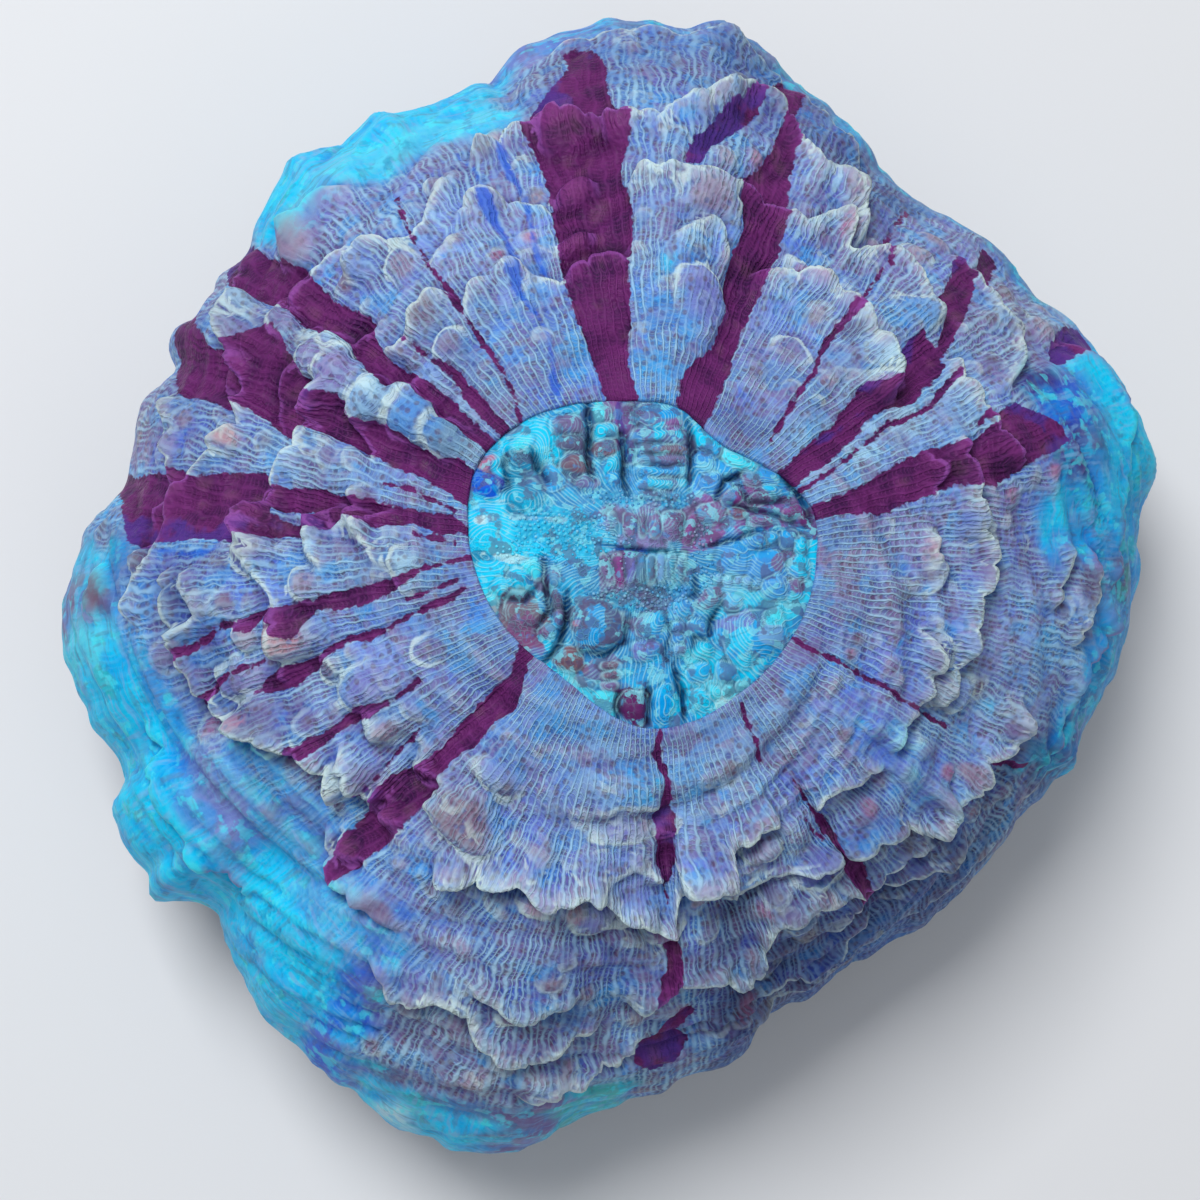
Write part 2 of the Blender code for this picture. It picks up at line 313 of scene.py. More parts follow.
def draw_rim(window, away, paleness_and_highlight):
    """Keeps the nearest rolled edge of each grid point, so that its line can be drawn sharply."""
    nearer = (np.abs(away) < np.abs(rim_away[window])) & (paleness_and_highlight > 0.02)
    rim_away[window] = np.where(nearer, away, rim_away[window])
    edge_paleness_and_highlight[window] = np.where(nearer, paleness_and_highlight, edge_paleness_and_highlight[window])


def add_terrace(boldness, points, seed):
    """Pushes one shelf edge into the grid; marks its pale roll, partly painted highlight, and its painted
    shade.
    """
    first, last = points[0][0], points[-1][0]
    turn = turned_near(angle, (first + last) / 2)
    ends = step(-1.6, 1.2, turn - first) * step(-1.6, 1.2, last - turn)
    spokes = np.nonzero(ends > 0)[0]
    spokes = spokes[np.argsort(turn[spokes])]
    turn, ends = turn[spokes], ends[spokes]
    lead = EDGE_LEAD * boldness / (outer - inner)[spokes]
    row = np.interp(open_curve(points, turn) - lead, share, np.arange(STEPS))
    low = np.minimum(row.astype(int), STEPS - 2)
    at = length[low, spokes] + (length[low + 1, spokes] - length[low, spokes]) * (row - low)
    along = np.radians(turn - first) * radius[low, spokes].mean()
    number = along / TONGUE + 0.8 * hills(along / 5.5, along * 0 + 3.5, seed)
    tongue = np.sqrt(1 - (2 * (number % 1.0) - 1) ** 2)   # 1 in a tongue's middle, 0 between two
    tongue = tongue * (0.65 + 0.5 * hills(np.floor(number) + 0.5, along * 0 + 7.5, seed + 400))
    at += 0.85 * (tongue - 0.5)
    at += EDGE_FRILL * hills(along / 1.7, along * 0, seed)
    at += 0.45 * EDGE_FRILL * hills(along / 0.7, along * 0 + 5.5, seed)
    past = length[:, spokes] - at
    strength = boldness * ends * (1 + 0.3 * hills(along / 3.0, along * 0 + 9.5, seed))
    ramp = np.clip(1 + past / RISE_LENGTH, 0, 1)
    shelf[:, spokes] += strength * (
        0.80 * ramp**2 * (1 - step(0.0, FALL_LENGTH, past))
        + 0.22 * bump(past, -0.28, 0.38)
        - 0.42 * bump(past, 1.25, 0.75)
    )
    grooves = np.clip(1 + past / 3.2, 0, 1) * (1 - step(0.0, FALL_LENGTH, past))
    shelf[:, spokes] += ends * min(1.0, 0.4 + 0.4 * boldness) * 0.30 * (tongue - 0.55) * grooves
    lean[:, spokes] += strength * 0.55 * bump(past, -0.10, 0.60)
    shade = ends * bump(past, 0.85, 0.50) * min(1.0, 0.7 * boldness)
    shade_mark[:, spokes] = np.maximum(shade_mark[:, spokes], shade)
    slant = np.gradient(at) / (np.radians(360.0 / SPOKES) * radius[low, spokes])
    paleness_and_highlight = ends * min(1.0, 0.45 + 0.45 * boldness)
    paleness_and_highlight = paleness_and_highlight * (0.85 + 0.3 * hills(along / 1.3, along * 0 + 4.5, seed)) + 0 * past
    draw_rim((slice(None), spokes), past / np.hypot(1.0, slant).clip(1, 3), paleness_and_highlight)


for number, (boldness, points) in enumerate(TERRACES):
    add_terrace(boldness, [(turn, at / 100) for turn, at in points], 100 + number)
print(len(TERRACES), "shelf edges, the highest", round(shelf.max(), 2), "mm")

# %% [markdown]
# ## Wine-red bands
#
# The bands are stripes of pigment with crisp, slightly ragged edges. A colour laid on the grid
# would blur between its points, so what is kept is a distance in millimetres: positive inside a
# band and negative outside. The skin's material turns it back into a sharp edge. Each band is a
# few rows of (share in hundredths, from angle, to angle).

# %% The bands, from the first one anticlockwise
BANDS = [
    [(0, 15, 19.6), (5, 14.3, 19.8), (10, 13.7, 20.5), (17, 12.8, 22), (22, 14, 22.8), (35, 15.3, 22.5),
     (40, 14.4, 21.5), (43, 14.5, 24.5), (50, 15.8, 24.7), (55, 16.8, 25.5), (59, 17.5, 23.5),
     (63, 18.2, 20)],
    [(74, 28, 28.8), (80, 28, 31), (88, 28, 32), (92, 28.5, 31.5)],
    [(0, 28, 35), (10, 30, 36.8), (20, 32.3, 38), (25, 33.8, 39.5), (29, 33.6, 40.5), (33, 32, 37),
     (38, 32.8, 38), (42, 33.5, 40), (47, 34.7, 41.5), (50, 37, 41.5)],
    [(50, 36.2, 37.6), (55, 37.2, 39.7), (60, 38.5, 42.7), (65, 39.7, 43.7), (70, 41, 44.7), (75, 43, 45.8),
     (80, 45.4, 46.6)],
    [(78, 40.6, 42.3), (83, 41.5, 44), (88, 42.2, 45)],
    [(0, 25.3, 26), (10, 27.2, 27.9), (15, 28.4, 29.3), (20, 29.2, 30), (27, 30.1, 31.4), (32, 29.6, 30.2),
     (37, 29.8, 30.5), (42, 30.7, 31.9), (47, 32, 33), (52, 33.1, 33.4)],
    [(5, 44.8, 45.2), (15, 47.3, 47.8), (20, 48.1, 48.9), (25, 48.7, 49.5), (31, 50.2, 51.3),
     (36, 50.4, 51.9), (40, 49.5, 51.2), (45, 50, 50.5), (50, 51.1, 51.6), (60, 51.8, 52.1)],
    [(62, 51, 52), (69, 53.4, 54.3), (75, 54, 54.6), (85, 54, 54.5)],
    [(0, 66.5, 79), (6, 66.2, 78.4), (10, 66, 76), (13, 66, 73.7), (17, 67, 72.5), (25, 67.2, 72.8),
     (30, 67, 74), (35, 66.7, 74), (40, 66.7, 73.6), (50, 67.3, 76.5), (55, 67.8, 74.5), (60, 69, 73.3),
     (66, 69.7, 72.7), (74, 70.5, 73), (79, 71, 74.5), (86, 70.8, 74), (90, 70.8, 72.5)],
    [(50, 81.5, 83.7), (53, 80.8, 83.5), (60, 78, 80.7), (65, 76.5, 79.5), (70, 75.5, 77.8),
     (75, 75.5, 76.6)],
    [(0, 92.5, 103.5), (7, 94.3, 103.8), (18, 93, 105), (28, 92.2, 105), (40, 91.3, 104), (50, 92.5, 103.2),
     (57, 90.3, 103.3), (61, 90.8, 103.4), (68, 93, 103.5), (73, 93, 101), (78, 93, 97.5), (85, 95, 97)],
    [(0, 130, 131.5), (3, 128.5, 129.5), (7, 126.7, 127.7), (10, 125.8, 126.8), (18, 125, 126.2),
     (28, 124.5, 125.5), (33, 123.8, 125.2), (40, 124.2, 124.8), (56, 122.8, 123.4), (64, 121.8, 122.1)],
    [(0, 134.5, 138.5), (5, 134.2, 138), (10, 133.7, 137.2), (15, 133.5, 136.5), (20, 133, 135),
     (25, 134.3, 135.3), (34, 134.8, 135.1)],
    [(0, 140.5, 145), (10, 139.2, 144), (25, 138.6, 144.3), (33, 139.5, 145.8), (38, 138.8, 145),
     (45, 136.5, 142.5), (60, 137.2, 142.8), (70, 136, 142), (83, 136.8, 142.8), (92, 136.5, 141.5),
     (98, 136, 139)],
    [(0, 151, 162.5), (3, 150, 161), (10, 152, 158.8), (20, 150.3, 158.5), (30, 150.3, 157.3),
     (43, 149, 157.5), (50, 149.5, 158.3), (60, 147.5, 156.8), (72, 145.5, 156.5), (77, 149.5, 156.5),
     (85, 149, 156.3), (95, 146, 153)],
    [(2, 164, 165), (10, 162.2, 163.2), (15, 161.5, 162.7), (23, 161.8, 162.3)],
    [(0, 168, 171.5), (3, 166.5, 171.5), (12, 166.3, 171), (18, 166.5, 172), (22, 166, 173.5),
     (27, 166.3, 172), (32, 166.3, 174.5), (36, 165.8, 174.5), (42, 166.5, 175), (47, 166.8, 176.5),
     (53, 165, 176), (60, 165, 175.5), (70, 166.7, 176), (80, 165.7, 175.3), (86, 166, 172),
     (95, 166, 168.5), (100, 165, 167.5)],
    [(3, 173.6, 174.5), (8, 172.3, 174), (12, 173, 174)],
    [(0, 178, 179.3), (5, 179.5, 180.5), (10, 181.5, 182.3), (14, 182.8, 184.9), (22, 184.4, 187.7),
     (30, 185.3, 188.5), (34, 185.7, 187.7), (38, 186, 189.5), (42, 186.3, 191), (45, 186, 187.5),
     (50, 187, 189), (55, 187, 187.8), (60, 188.3, 189.4), (69, 189, 190.3)],
    [(3, 185, 186), (12, 187.8, 188.5), (16, 189, 189.5)],
    [(2, 187, 188.7), (6, 189, 191), (10, 190.3, 192.3), (18, 192.5, 193.5), (26, 193.7, 195.5),
     (34, 193.7, 195), (40, 195.3, 197), (50, 195.5, 199), (55, 197.5, 198)],
    [(50, 193, 193.5), (60, 193.5, 194.3), (64, 194.7, 196), (70, 195.5, 196.5)],
    [(21, 207, 208.4), (30, 207.7, 208.9), (35, 206, 209), (40, 207.2, 208.7), (50, 207, 209),
     (56, 207.5, 208)],
    [(30, 216.4, 216.7), (40, 217.5, 217.8), (48, 217.2, 218.3)],
    [(0, 214, 220), (3, 216.5, 222.5), (6, 219, 226), (10, 219.8, 228), (15, 220.3, 227), (20, 221, 227.5),
     (30, 222.2, 226.7), (36, 221.3, 227.3), (43, 219, 228), (50, 221.5, 227.5), (60, 222.5, 226.5),
     (65, 224, 226)],
    [(0, 274.7, 276.5), (3, 273.5, 275.8), (6, 272.8, 275.3), (14, 275.3, 277.6), (20, 272.8, 276.8),
     (24, 272.5, 277.4), (29, 273, 276.7), (35, 272.7, 276.7), (38, 273.2, 274.9), (44, 274, 274.5)],
    [(53, 273.3, 275.8), (58, 273.7, 276.7), (62, 272.5, 276.5), (66, 271, 275.2), (71, 270, 272)],
    [(76.5, 276.2, 277.5), (80, 274.5, 278.2), (83, 271.5, 275.8), (86, 270.5, 277.5), (90, 272.5, 274)],
    [(2, 304.5, 305.8), (12, 301.8, 302.5), (20, 300.8, 301.7)],
    [(28, 305.6, 306.3), (38, 305.2, 306.5), (47, 305.5, 307.5), (56, 306, 308), (60, 304.7, 309.3),
     (65, 305.2, 308.7), (72, 306, 308.6), (76, 305.5, 309.5), (80, 304.5, 308)],
    [(40, 303, 303.7), (48, 304.2, 304.8)],
    [(0, 333.3, 334.5), (6, 332.3, 333.8), (10, 333, 334.2), (18, 333.8, 334.2), (30, 333.3, 334.5),
     (34, 333.5, 333.9), (45, 333.6, 334.3), (54, 334, 334.4)],
    [(73, 333.5, 334.5), (77, 334.5, 335.6), (81, 336, 337)],
]
BLUE_STREAKS = [
    [(30, 107.4, 108.2), (35, 107.5, 109), (40, 107.7, 108.5), (45, 106.8, 107.8), (50, 106.2, 107.6),
     (55, 106.4, 107.3), (60, 106.7, 108.3), (69, 106.4, 107.1)],
    [(2, 116, 119), (5, 115, 118), (10, 113.8, 115), (20, 111.8, 113), (28, 113, 115), (33, 112, 115),
     (42, 111.5, 112.4), (50, 111.5, 114), (60, 111.2, 111.8), (70, 112.4, 113)],
    [(55, 176.5, 177.2), (62, 177, 178), (70, 176.5, 177.3)],
]
ISLANDS = [  # flesh that shows inside a band
    [(37.5, 170.6, 171.4), (41, 170.8, 172.3), (45.5, 171.2, 172)],
    [(41, 22.6, 23.2), (45, 23.3, 23.8), (49, 23.4, 24)],
]
NARROWEST = 0.17  # half width of the finest streak


def stripe(rows):
    """Distance inside a stripe in mm, all over the grid; negative outside it."""
    at, low, high = np.array(rows, float).T / ((100,), (1,), (1,))
    low = open_curve(np.stack((at, low), 1), share)[:, None]
    high = open_curve(np.stack((at, high), 1), share)[:, None]
    turn = turned_near(angle, low.mean())
    to_mm = np.radians(1.0) * radius
    half = np.maximum((high - low) / 2 * to_mm, NARROWEST)
    across = half - np.abs(turn - (low + high) / 2) * to_mm
    first = -1.0 if at[0] == 0 else at[0]
    last = 2.0 if at[-1] == 1 else at[-1]
    along = np.minimum(share - first, last - share)[:, None] * length[-1]
    return np.minimum(across, along + 0.1)


wine = np.max([stripe(rows) for rows in BANDS], axis=0)
wine = np.minimum(wine, -np.max([stripe(rows) for rows in ISLANDS], axis=0))
streak = np.max([stripe(rows) for rows in BLUE_STREAKS], axis=0)
print(len(BANDS), "bands cover", round(100 * (wine > 0).mean()), "% of the spokes' steps")

# %% [markdown]
# ## Patches of colour
#
# Between the bands the flesh drifts from lavender to cyan and dull mauve. Each patch is a range of
# angles and shares with soft borders, laid over the one before. The borders are bent by random
# hills, so that none of them runs straight.

# %% Soft patches on the mantle
PATCHES = [  # (from angle, to angle, from, to, colour, how thick), all but the angles in hundredths
    (0, 360, -100, 13, "pale", 35), (0, 360, 13, 45, "periwinkle", 35), (350, 371, -10, 10, "beige", 60),
    (176, 208, 0, 36, "pale", 40), (250, 300, 0, 30, "pale", 85), (228, 240, 20, 42, "beige", 50),
    (0, 13, 0, 35, "beige", 50), (0, 13, 33, 55, "lavender", 60), (4, 12, 45, 60, "gentian", 30),
    (20, 30, 0, 50, "pale", 80), (26, 33, 0, 30, "cream", 55), (30, 35, 20, 52, "cream", 70),
    (36, 48, 7, 40, "pale", 70), (48, 66, 0, 12, "deep", 50), (48, 66, 15, 45, "periwinkle", 60),
    (75, 92, 4, 22, "sky", 60), (84, 87, 24, 30, "cyan", 90), (78, 91, 30, 50, "pale", 50),
    (105, 126, 0, 6, "gentian", 50), (105, 125, 5, 32, "sea", 60), (104, 124, 25, 62, "periwinkle", 95),
    (126, 134, 0, 22, "haze", 50), (125, 137, 25, 40, "pale", 60), (126, 137, 40, 62, "skin", 60),
    (137, 140, 0, 30, "cream", 70), (144, 151.5, -10, 14, "cream", 70), (144, 151.5, 10, 33, "pale", 80),
    (144, 150.5, 29, 40, "cream", 50), (141.5, 145, 44, 60, "cream", 55),
    (144.5, 149.5, 40, 60, "lilac", 70), (142.5, 147, 60, 72, "beige", 60), (143, 148, 70, 85, "lilac", 60),
    (145.5, 151, 62, 80, "grey", 70), (158, 166, 0, 60, "pale", 75), (158, 166, 78, 88, "gentian", 50),
    (172, 178, 0, 32, "cream", 50), (176, 186, 3, 30, "haze", 50), (177, 200, 56, 70, "skin", 50),
    (177, 186, 55, 68, "lavender", 60), (181, 187, 62, 70, "haze", 80), (188, 196, 55, 70, "lavender", 60),
    (192, 206, 0, 9, "sky", 70), (195, 207, 18, 42, "periwinkle", 75), (196, 206, 38, 50, "skin", 50),
    (207, 216, 8, 33, "grey", 40), (209, 218, 2, 10, "sea", 50), (227, 243, 2, 20, "sea", 50),
    (240, 252, 4, 20, "sky", 65), (240, 257, 24, 42, "gentian", 55), (265, 273, 5, 20, "sky", 90),
    (270.5, 273, 9, 15, "cyan", 80), (281, 299, 30, 42, "skin", 50), (245, 272, 45, 69, "deep", 75),
    (262, 270, 50, 78, "slate", 50), (238, 262, 66, 92, "dusk", 80), (262, 270, 72, 84, "mauve", 60),
    # the near-black patch below the lower right shelves is painted shadow
    (278, 292, 50, 72, "slate", 65), (284, 306, 58, 72, "dusk", 60), (270, 292, 74, 120, "shadow_navy", 65),
    (284, 345, 74, 120, "slate", 85), (284, 345, 96.5, 130, "lagoon", 60), (300, 322, 83, 90, "lagoon", 30),
    (338, 360, 74, 90, "lagoon", 50), (300, 330, 78, 120, "teal", 35), (300, 320, 0, 25, "pale", 70),
    (305, 322, 42, 62, "skin", 50), (320, 330, 18, 60, "gentian", 45), (336, 346, -10, 8, "mauve", 50),
    (345, 358, 8, 30, "dusk", 55), (334, 345, 10, 40, "skin", 40), (333, 359, 40, 76, "periwinkle", 100),
    (258, 282, 25, 45, "periwinkle", 70), (20, 42, 10, 34, "cream", 45), (336, 345, 62, 74, "lilac", 50),
    (344, 358, 60, 80, "sky", 50), (339, 342, 58, 62, "cyan", 80), (351, 354.5, 64, 68, "cyan", 70),
    (346, 372, 80, 120, "sky", 80), (346, 360, 86, 120, "teal", 50), (0, 4.5, 69, 93, "dusk", 90),
    (5, 17, 58, 80, "lagoon", 75), (6, 13, 59, 65, "cyan", 90), (4, 17, 75, 120, "lagoon", 80),
    (6, 13, 66, 90, "cyan", 40), (15, 30, 58.5, 71, "indigo", 90), (20.5, 26.5, 60, 77, "royal", 85),
    (16, 21, 70, 77, "teal", 80), (25.5, 29.5, 57, 69, "indigo", 80), (13, 29, 77.5, 120, "cyan", 100),
    (20.5, 23, 56.5, 60, "royal", 90), (32, 62, 52, 88, "lilac", 60), (38, 46, 44, 58, "sea", 60),
    (30, 44, 66, 84, "beige", 35), (31, 36, 82, 120, "cream", 60), (36, 66, 90, 130, "haze", 60),
    (57, 66, 74, 90, "dusk", 60), (66, 92, 88, 130, "haze", 60), (80, 87, 78, 97, "royal", 50),
    (73, 82, 40, 62, "skin", 50), (83, 92, 64, 80, "mauve", 70), (76, 100, 78, 90, "sea", 60),
    (98, 104, 78, 92, "lilac", 70), (104, 116, 68, 80, "pale", 70), (104, 137, 74, 90, "glow", 70),
    (104, 136, 84, 130, "cyan", 100), (126, 136, 60, 78, "lilac", 60), (131, 137, 72, 84, "beige", 70),
    (136, 147, 92, 130, "beige", 60), (155, 166, 88, 130, "beige", 70), (167, 172, 92, 120, "cyan", 90),
    (171, 177, 85, 120, "haze", 80), (175, 180, 80, 97, "cyan", 90), (178, 183.5, 82, 120, "brown", 70),
    (183, 189, 80, 120, "glow", 80), (181, 198, 72, 83, "sky", 70), (188, 236, 75.5, 130, "lagoon", 100),
    (188, 214, 80, 120, "cyan", 90), (203, 220, 60, 76, "sea", 70), (203, 214, 61, 80, "lilac", 55),
    (200, 214, 55, 66, "sky", 80), (214, 234, 66, 80, "cyan", 60), (214, 234, 76, 120, "cyan", 95),
    (233, 237, 50, 92, "gentian", 60), (233, 236.5, 62, 80, "royal", 50), (235, 240, 80, 130, "royal", 80),
    (220, 238, 50, 70, "sea", 50), (240, 257, 91.5, 130, "cyan", 95), (244, 248, 95, 100, "ivory", 80),
    (256, 262, 86, 130, "mauve", 80), (262, 271, 88, 130, "green", 80), (271, 282, 92, 130, "slate", 70),
]
VIOLET = [  # stretches of the bands that turn violet: (from angle, to angle, from, to)
    (22, 31, 50, 75), (16, 20, 56, 66), (38.5, 44, 28, 52), (43, 48, 70, 85), (27, 33, 70, 95),
    (75, 85, 49, 76), (98.5, 105, 66, 80), (148, 152.5, 42, 52), (136, 142, 90, 110), (172.5, 178, 28, 39),
    (173.2, 178, 45, 85), (171.5, 176, 78, 92), (270, 280, 80, 95), (194, 201, 68, 75),
    (216, 221.5, 42, 60), (272, 278, 20.5, 28.5), (268, 274, 64, 75), (206, 210, 50, 60), (35, 37, 3, 25),
]
bend_angle = 2.2 * on_flesh(4.0, 4.0, 11) + 0.9 * on_flesh(1.3, 1.3, 12)
bend_share = 0.030 * on_flesh(4.0, 4.0, 13) + 0.014 * on_flesh(1.3, 1.3, 14)


def patch(from_angle, to_angle, low, high):
    """1 inside a range of angles and hundredths, 0 outside, with soft, wandering borders."""
    low, high = low / 100, high / 100
    turn = turned_near(angle, (from_angle + to_angle) / 2) + bend_angle * min(1, (to_angle - from_angle) / 8)
    down_to = share[:, None] + bend_share * min(1, (high - low) / 0.12)
    across = 1.0
    if to_angle - from_angle < 360:
        across = step(-1.6, 1.6, turn - from_angle) * step(-1.6, 1.6, to_angle - turn)
    return across * step(-0.03, 0.03, down_to - low) * step(-0.03, 0.03, high - down_to)


tint = np.zeros(radius.shape + (3,)) + paint("skin")
for *where, name, thickness in PATCHES:
    lay(tint, name, patch(*where) * (thickness / 100))
violet = np.max([patch(*where) for where in VIOLET], axis=0)
SMOOTH = [  # where the net fades and the flesh is smooth: (from angle, to angle, from, to, how smooth)
    (3, 30, 58, 130, 1), (174, 240, 78, 130, 1), (187, 240, 72, 130, 1), (202, 238, 60, 130, 0.8),
    (104, 136, 72, 130, 1), (336, 366, 80, 130, 1), (320, 330, 20, 64, 0.5), (240, 270, 88, 130, 1),
    (30, 104, 90, 130, 1),
]
smooth_skin = np.max([patch(*where) * smooth for *where, smooth in SMOOTH], axis=0)
DARK_AND_SHADED = [  # where the flesh is darkened, partly its own dark tone and partly painted shade: (from angle, to angle, from, to, how dark)
    (280, 324, 71, 130, 85), (276, 300, 56, 72, 45), (300, 318, 46, 70, 45), (322, 342, 76, 130, 45),
    (54, 82, 70, 90, 55), (177, 200, 56, 72, 50), (165, 182, 72, 86, 45), (258, 272, 48, 72, 35),
    (200, 206, 44, 60, 30), (0, 16, 47, 58, 20), (48, 66, 0, 10, 25), (142, 150, 58, 92, 40),
    (154, 166, 68, 90, 30), (72, 104, 70, 86, 30),
]
dark_and_shaded = np.max([patch(*where) * (dark / 100) for *where, dark in DARK_AND_SHADED], axis=0)
print(len(PATCHES), "patches of", len({row[4] for row in PATCHES}), "colours laid")

# %% [markdown]
# ## Lobes and knobs
#
# The shelves carry swollen lobes, many with a dusky crown inside a pale ring that is partly a painted
# highlight. The large ones are placed one by one; between them, hundreds of small scale-like ones
# come from a seeded scatter.
# Each is a cap that is steeper on its lower side, and the highest cap at a place wins, so that
# neighbours crowd each other instead of adding up.

# %% Lobes placed one by one
LOBES = [  # (angle, share in hundredths, half width, half length, rise, colour of its crown)
    (4.5, 27, 1.4, 0.9, 0.5, "rose"), (2, 42, 2.4, 1.5, 0.5, "mauve"), (9, 36, 1.6, 1.4, 0.4, "skin"),
    (38, 30.5, 1.3, 1, 0.9, "orchid"), (40.5, 36, 1.8, 1.5, 0.8, "cream"), (44, 53, 2, 1.4, 0.5, "sea"),
    (56, 26, 1.6, 1.6, 0.5, "mauve"), (60, 44, 2.3, 1.2, 0.8, "rose"), (59.5, 61.5, 1.3, 1.7, 0.9, "rose"),
    (61.5, 71, 1.7, 1.9, 0.9, "beige"), (78, 22, 2.2, 2.8, 0.7, "lavender"),
    (80, 42, 2.4, 1.8, 0.6, "beige"), (87, 46, 1.5, 1.2, 0.7, "cream"), (92, 57.5, 1.3, 1.4, 1, "magenta"),
    (101.5, 35, 1.5, 0.9, 0.9, "brown"), (99.5, 46, 1.7, 1.3, 1.1, "brown"),
    (98.5, 60.5, 2.3, 1.8, 1.1, "brown"), (112.5, 52, 1.6, 1.5, 0.7, "violet"),
    (117, 62, 0.9, 0.9, 0.7, "beige"), (130.5, 24.5, 1.3, 1.1, 0.5, "mauve"),
    (130.5, 34, 1.9, 1.6, 0.7, "brown"), (131, 56, 1.5, 1.7, 0.6, "skin"),
    (127.5, 47, 1.4, 1.4, 0.5, "beige"), (134, 77, 2.3, 2.2, 0.9, "beige"),
    (138, 90, 1.2, 1.3, 0.8, "glow"), (146.9, 9, 1.5, 2.6, 0.3, "haze"), (147.6, 20, 1.7, 2.4, 0.35, "sea"),
    (147, 31, 1.5, 1.9, 0.55, "cream"), (148.8, 34, 0.9, 1.3, 0.45, "pale"),
    (146.8, 44, 1.9, 2.4, 0.5, "lilac"), (143, 50.5, 1.3, 1.9, 0.75, "cream"),
    (145.9, 53.5, 1.7, 2.2, 0.6, "lilac"), (142.9, 58.5, 0.9, 1.2, 0.5, "cream"),
    (143.5, 67, 1.3, 2.2, 0.55, "lilac"), (141.2, 71.5, 0.7, 0.9, 0.6, "cream"),
    (144.6, 79, 0.8, 1.6, 0.5, "cream"), (147.6, 76, 1.3, 2.4, 0.45, "lilac"),
    (140.9, 88.5, 0.5, 0.6, 0.4, "cyan"), (152, 72, 1.5, 1.6, 0.8, "sea"),
    (161, 65.5, 1.2, 1.4, 0.9, "orange"), (159, 85, 1.3, 1.3, 0.7, "beige"),
    (163, 81, 1.3, 1.2, 0.6, "lilac"), (172, 23.5, 1.2, 1, 0.8, "magenta"),
    (174, 34, 1, 1.2, 0.8, "violet"), (173.5, 48, 1.6, 1.6, 1.1, "violet"),
    (177.5, 48, 1.7, 1.7, 1, "mauve"), (177.7, 74.5, 1.6, 1.2, 0.9, "brown"),
    (182, 14, 1.8, 1.1, 0.5, "cream"), (183, 36, 1.4, 1.3, 0.5, "beige"),
    (190.3, 42.5, 1.9, 1.6, 1.3, "orange"), (184.5, 66, 2, 1.4, 0.6, "haze"),
    (189.5, 51, 1.1, 1, 0.7, "beige"), (195, 56, 1.7, 2.4, 0.8, "lilac"), (202, 55, 2.5, 2.1, 1, "mauve"),
    (198, 38, 1.1, 1.1, 0.7, "beige"), (202, 15.5, 1.1, 1.4, 0.5, "mauve"),
    (204, 31, 1.8, 2.6, 0.8, "lavender"), (217, 45.5, 2, 1.7, 0.8, "mauve"),
    (212.5, 34, 1, 1.2, 0.6, "beige"), (235, 35, 3, 2.1, 1.1, "brown"), (236, 23.5, 1.9, 1.4, 0.6, "skin"),
    (232.5, 60.5, 2.1, 0.9, 0.8, "brown"), (252.5, 42.5, 1.2, 0.7, 0.5, "rose"),
    (246.5, 67, 1.5, 0.9, 0.6, "beige"), (254, 66, 1, 0.7, 0.5, "beige"),
    (260.5, 73.5, 0.9, 0.8, 0.5, "orange"), (263, 44, 2, 1.7, 0.7, "lavender"),
    (268, 45.5, 1.5, 1.4, 0.6, "lilac"), (273.8, 50, 1.5, 1.4, 1.3, "rose"),
    (180.5, 86, 2.2, 1.8, 0.8, "brown"), (275, 24.5, 1.1, 1, 0.7, "violet"),
    (266, 24.5, 2.3, 1, 0.5, "lavender"), (293, 41.5, 1.5, 1.2, 0.8, "mauve"),
    (223, 34, 1, 0.9, 0.7, "brown"), (226, 45, 1, 0.9, 0.7, "brown"), (221, 47, 0.9, 0.8, 0.6, "orchid"),
    (224, 58.5, 0.9, 0.8, 0.6, "brown"), (170.5, 30, 1, 0.8, 0.6, "orchid"),
    (168, 50, 1.2, 0.9, 0.6, "magenta"), (301.5, 54, 2.2, 1.6, 0.7, "lavender"),
    (296, 69, 1.4, 1.3, 0.6, "haze"), (344.5, 36, 1.4, 1.3, 0.8, "mauve"),
    (322, 70, 1.5, 1.5, 0.7, "beige"), (330, 68, 1.6, 1.7, 0.6, "beige"), (340, 50, 1.5, 1.3, 0.6, "skin"),
    (349, 43, 1.5, 1.4, 0.5, "skin"), (0, 73, 2, 1.5, 0.6, "dusk"), (37, 73, 1.6, 1.6, 0.6, "beige"),
    (33, 80, 1.5, 1.2, 0.6, "beige"), (50, 70, 1.6, 1.6, 0.5, "beige"),
]
bulge = np.zeros_like(radius)
crown_mark = np.zeros_like(radius)
knob_mark = np.zeros_like(radius)
uneven = on_flesh(0.9, 0.9, 21)


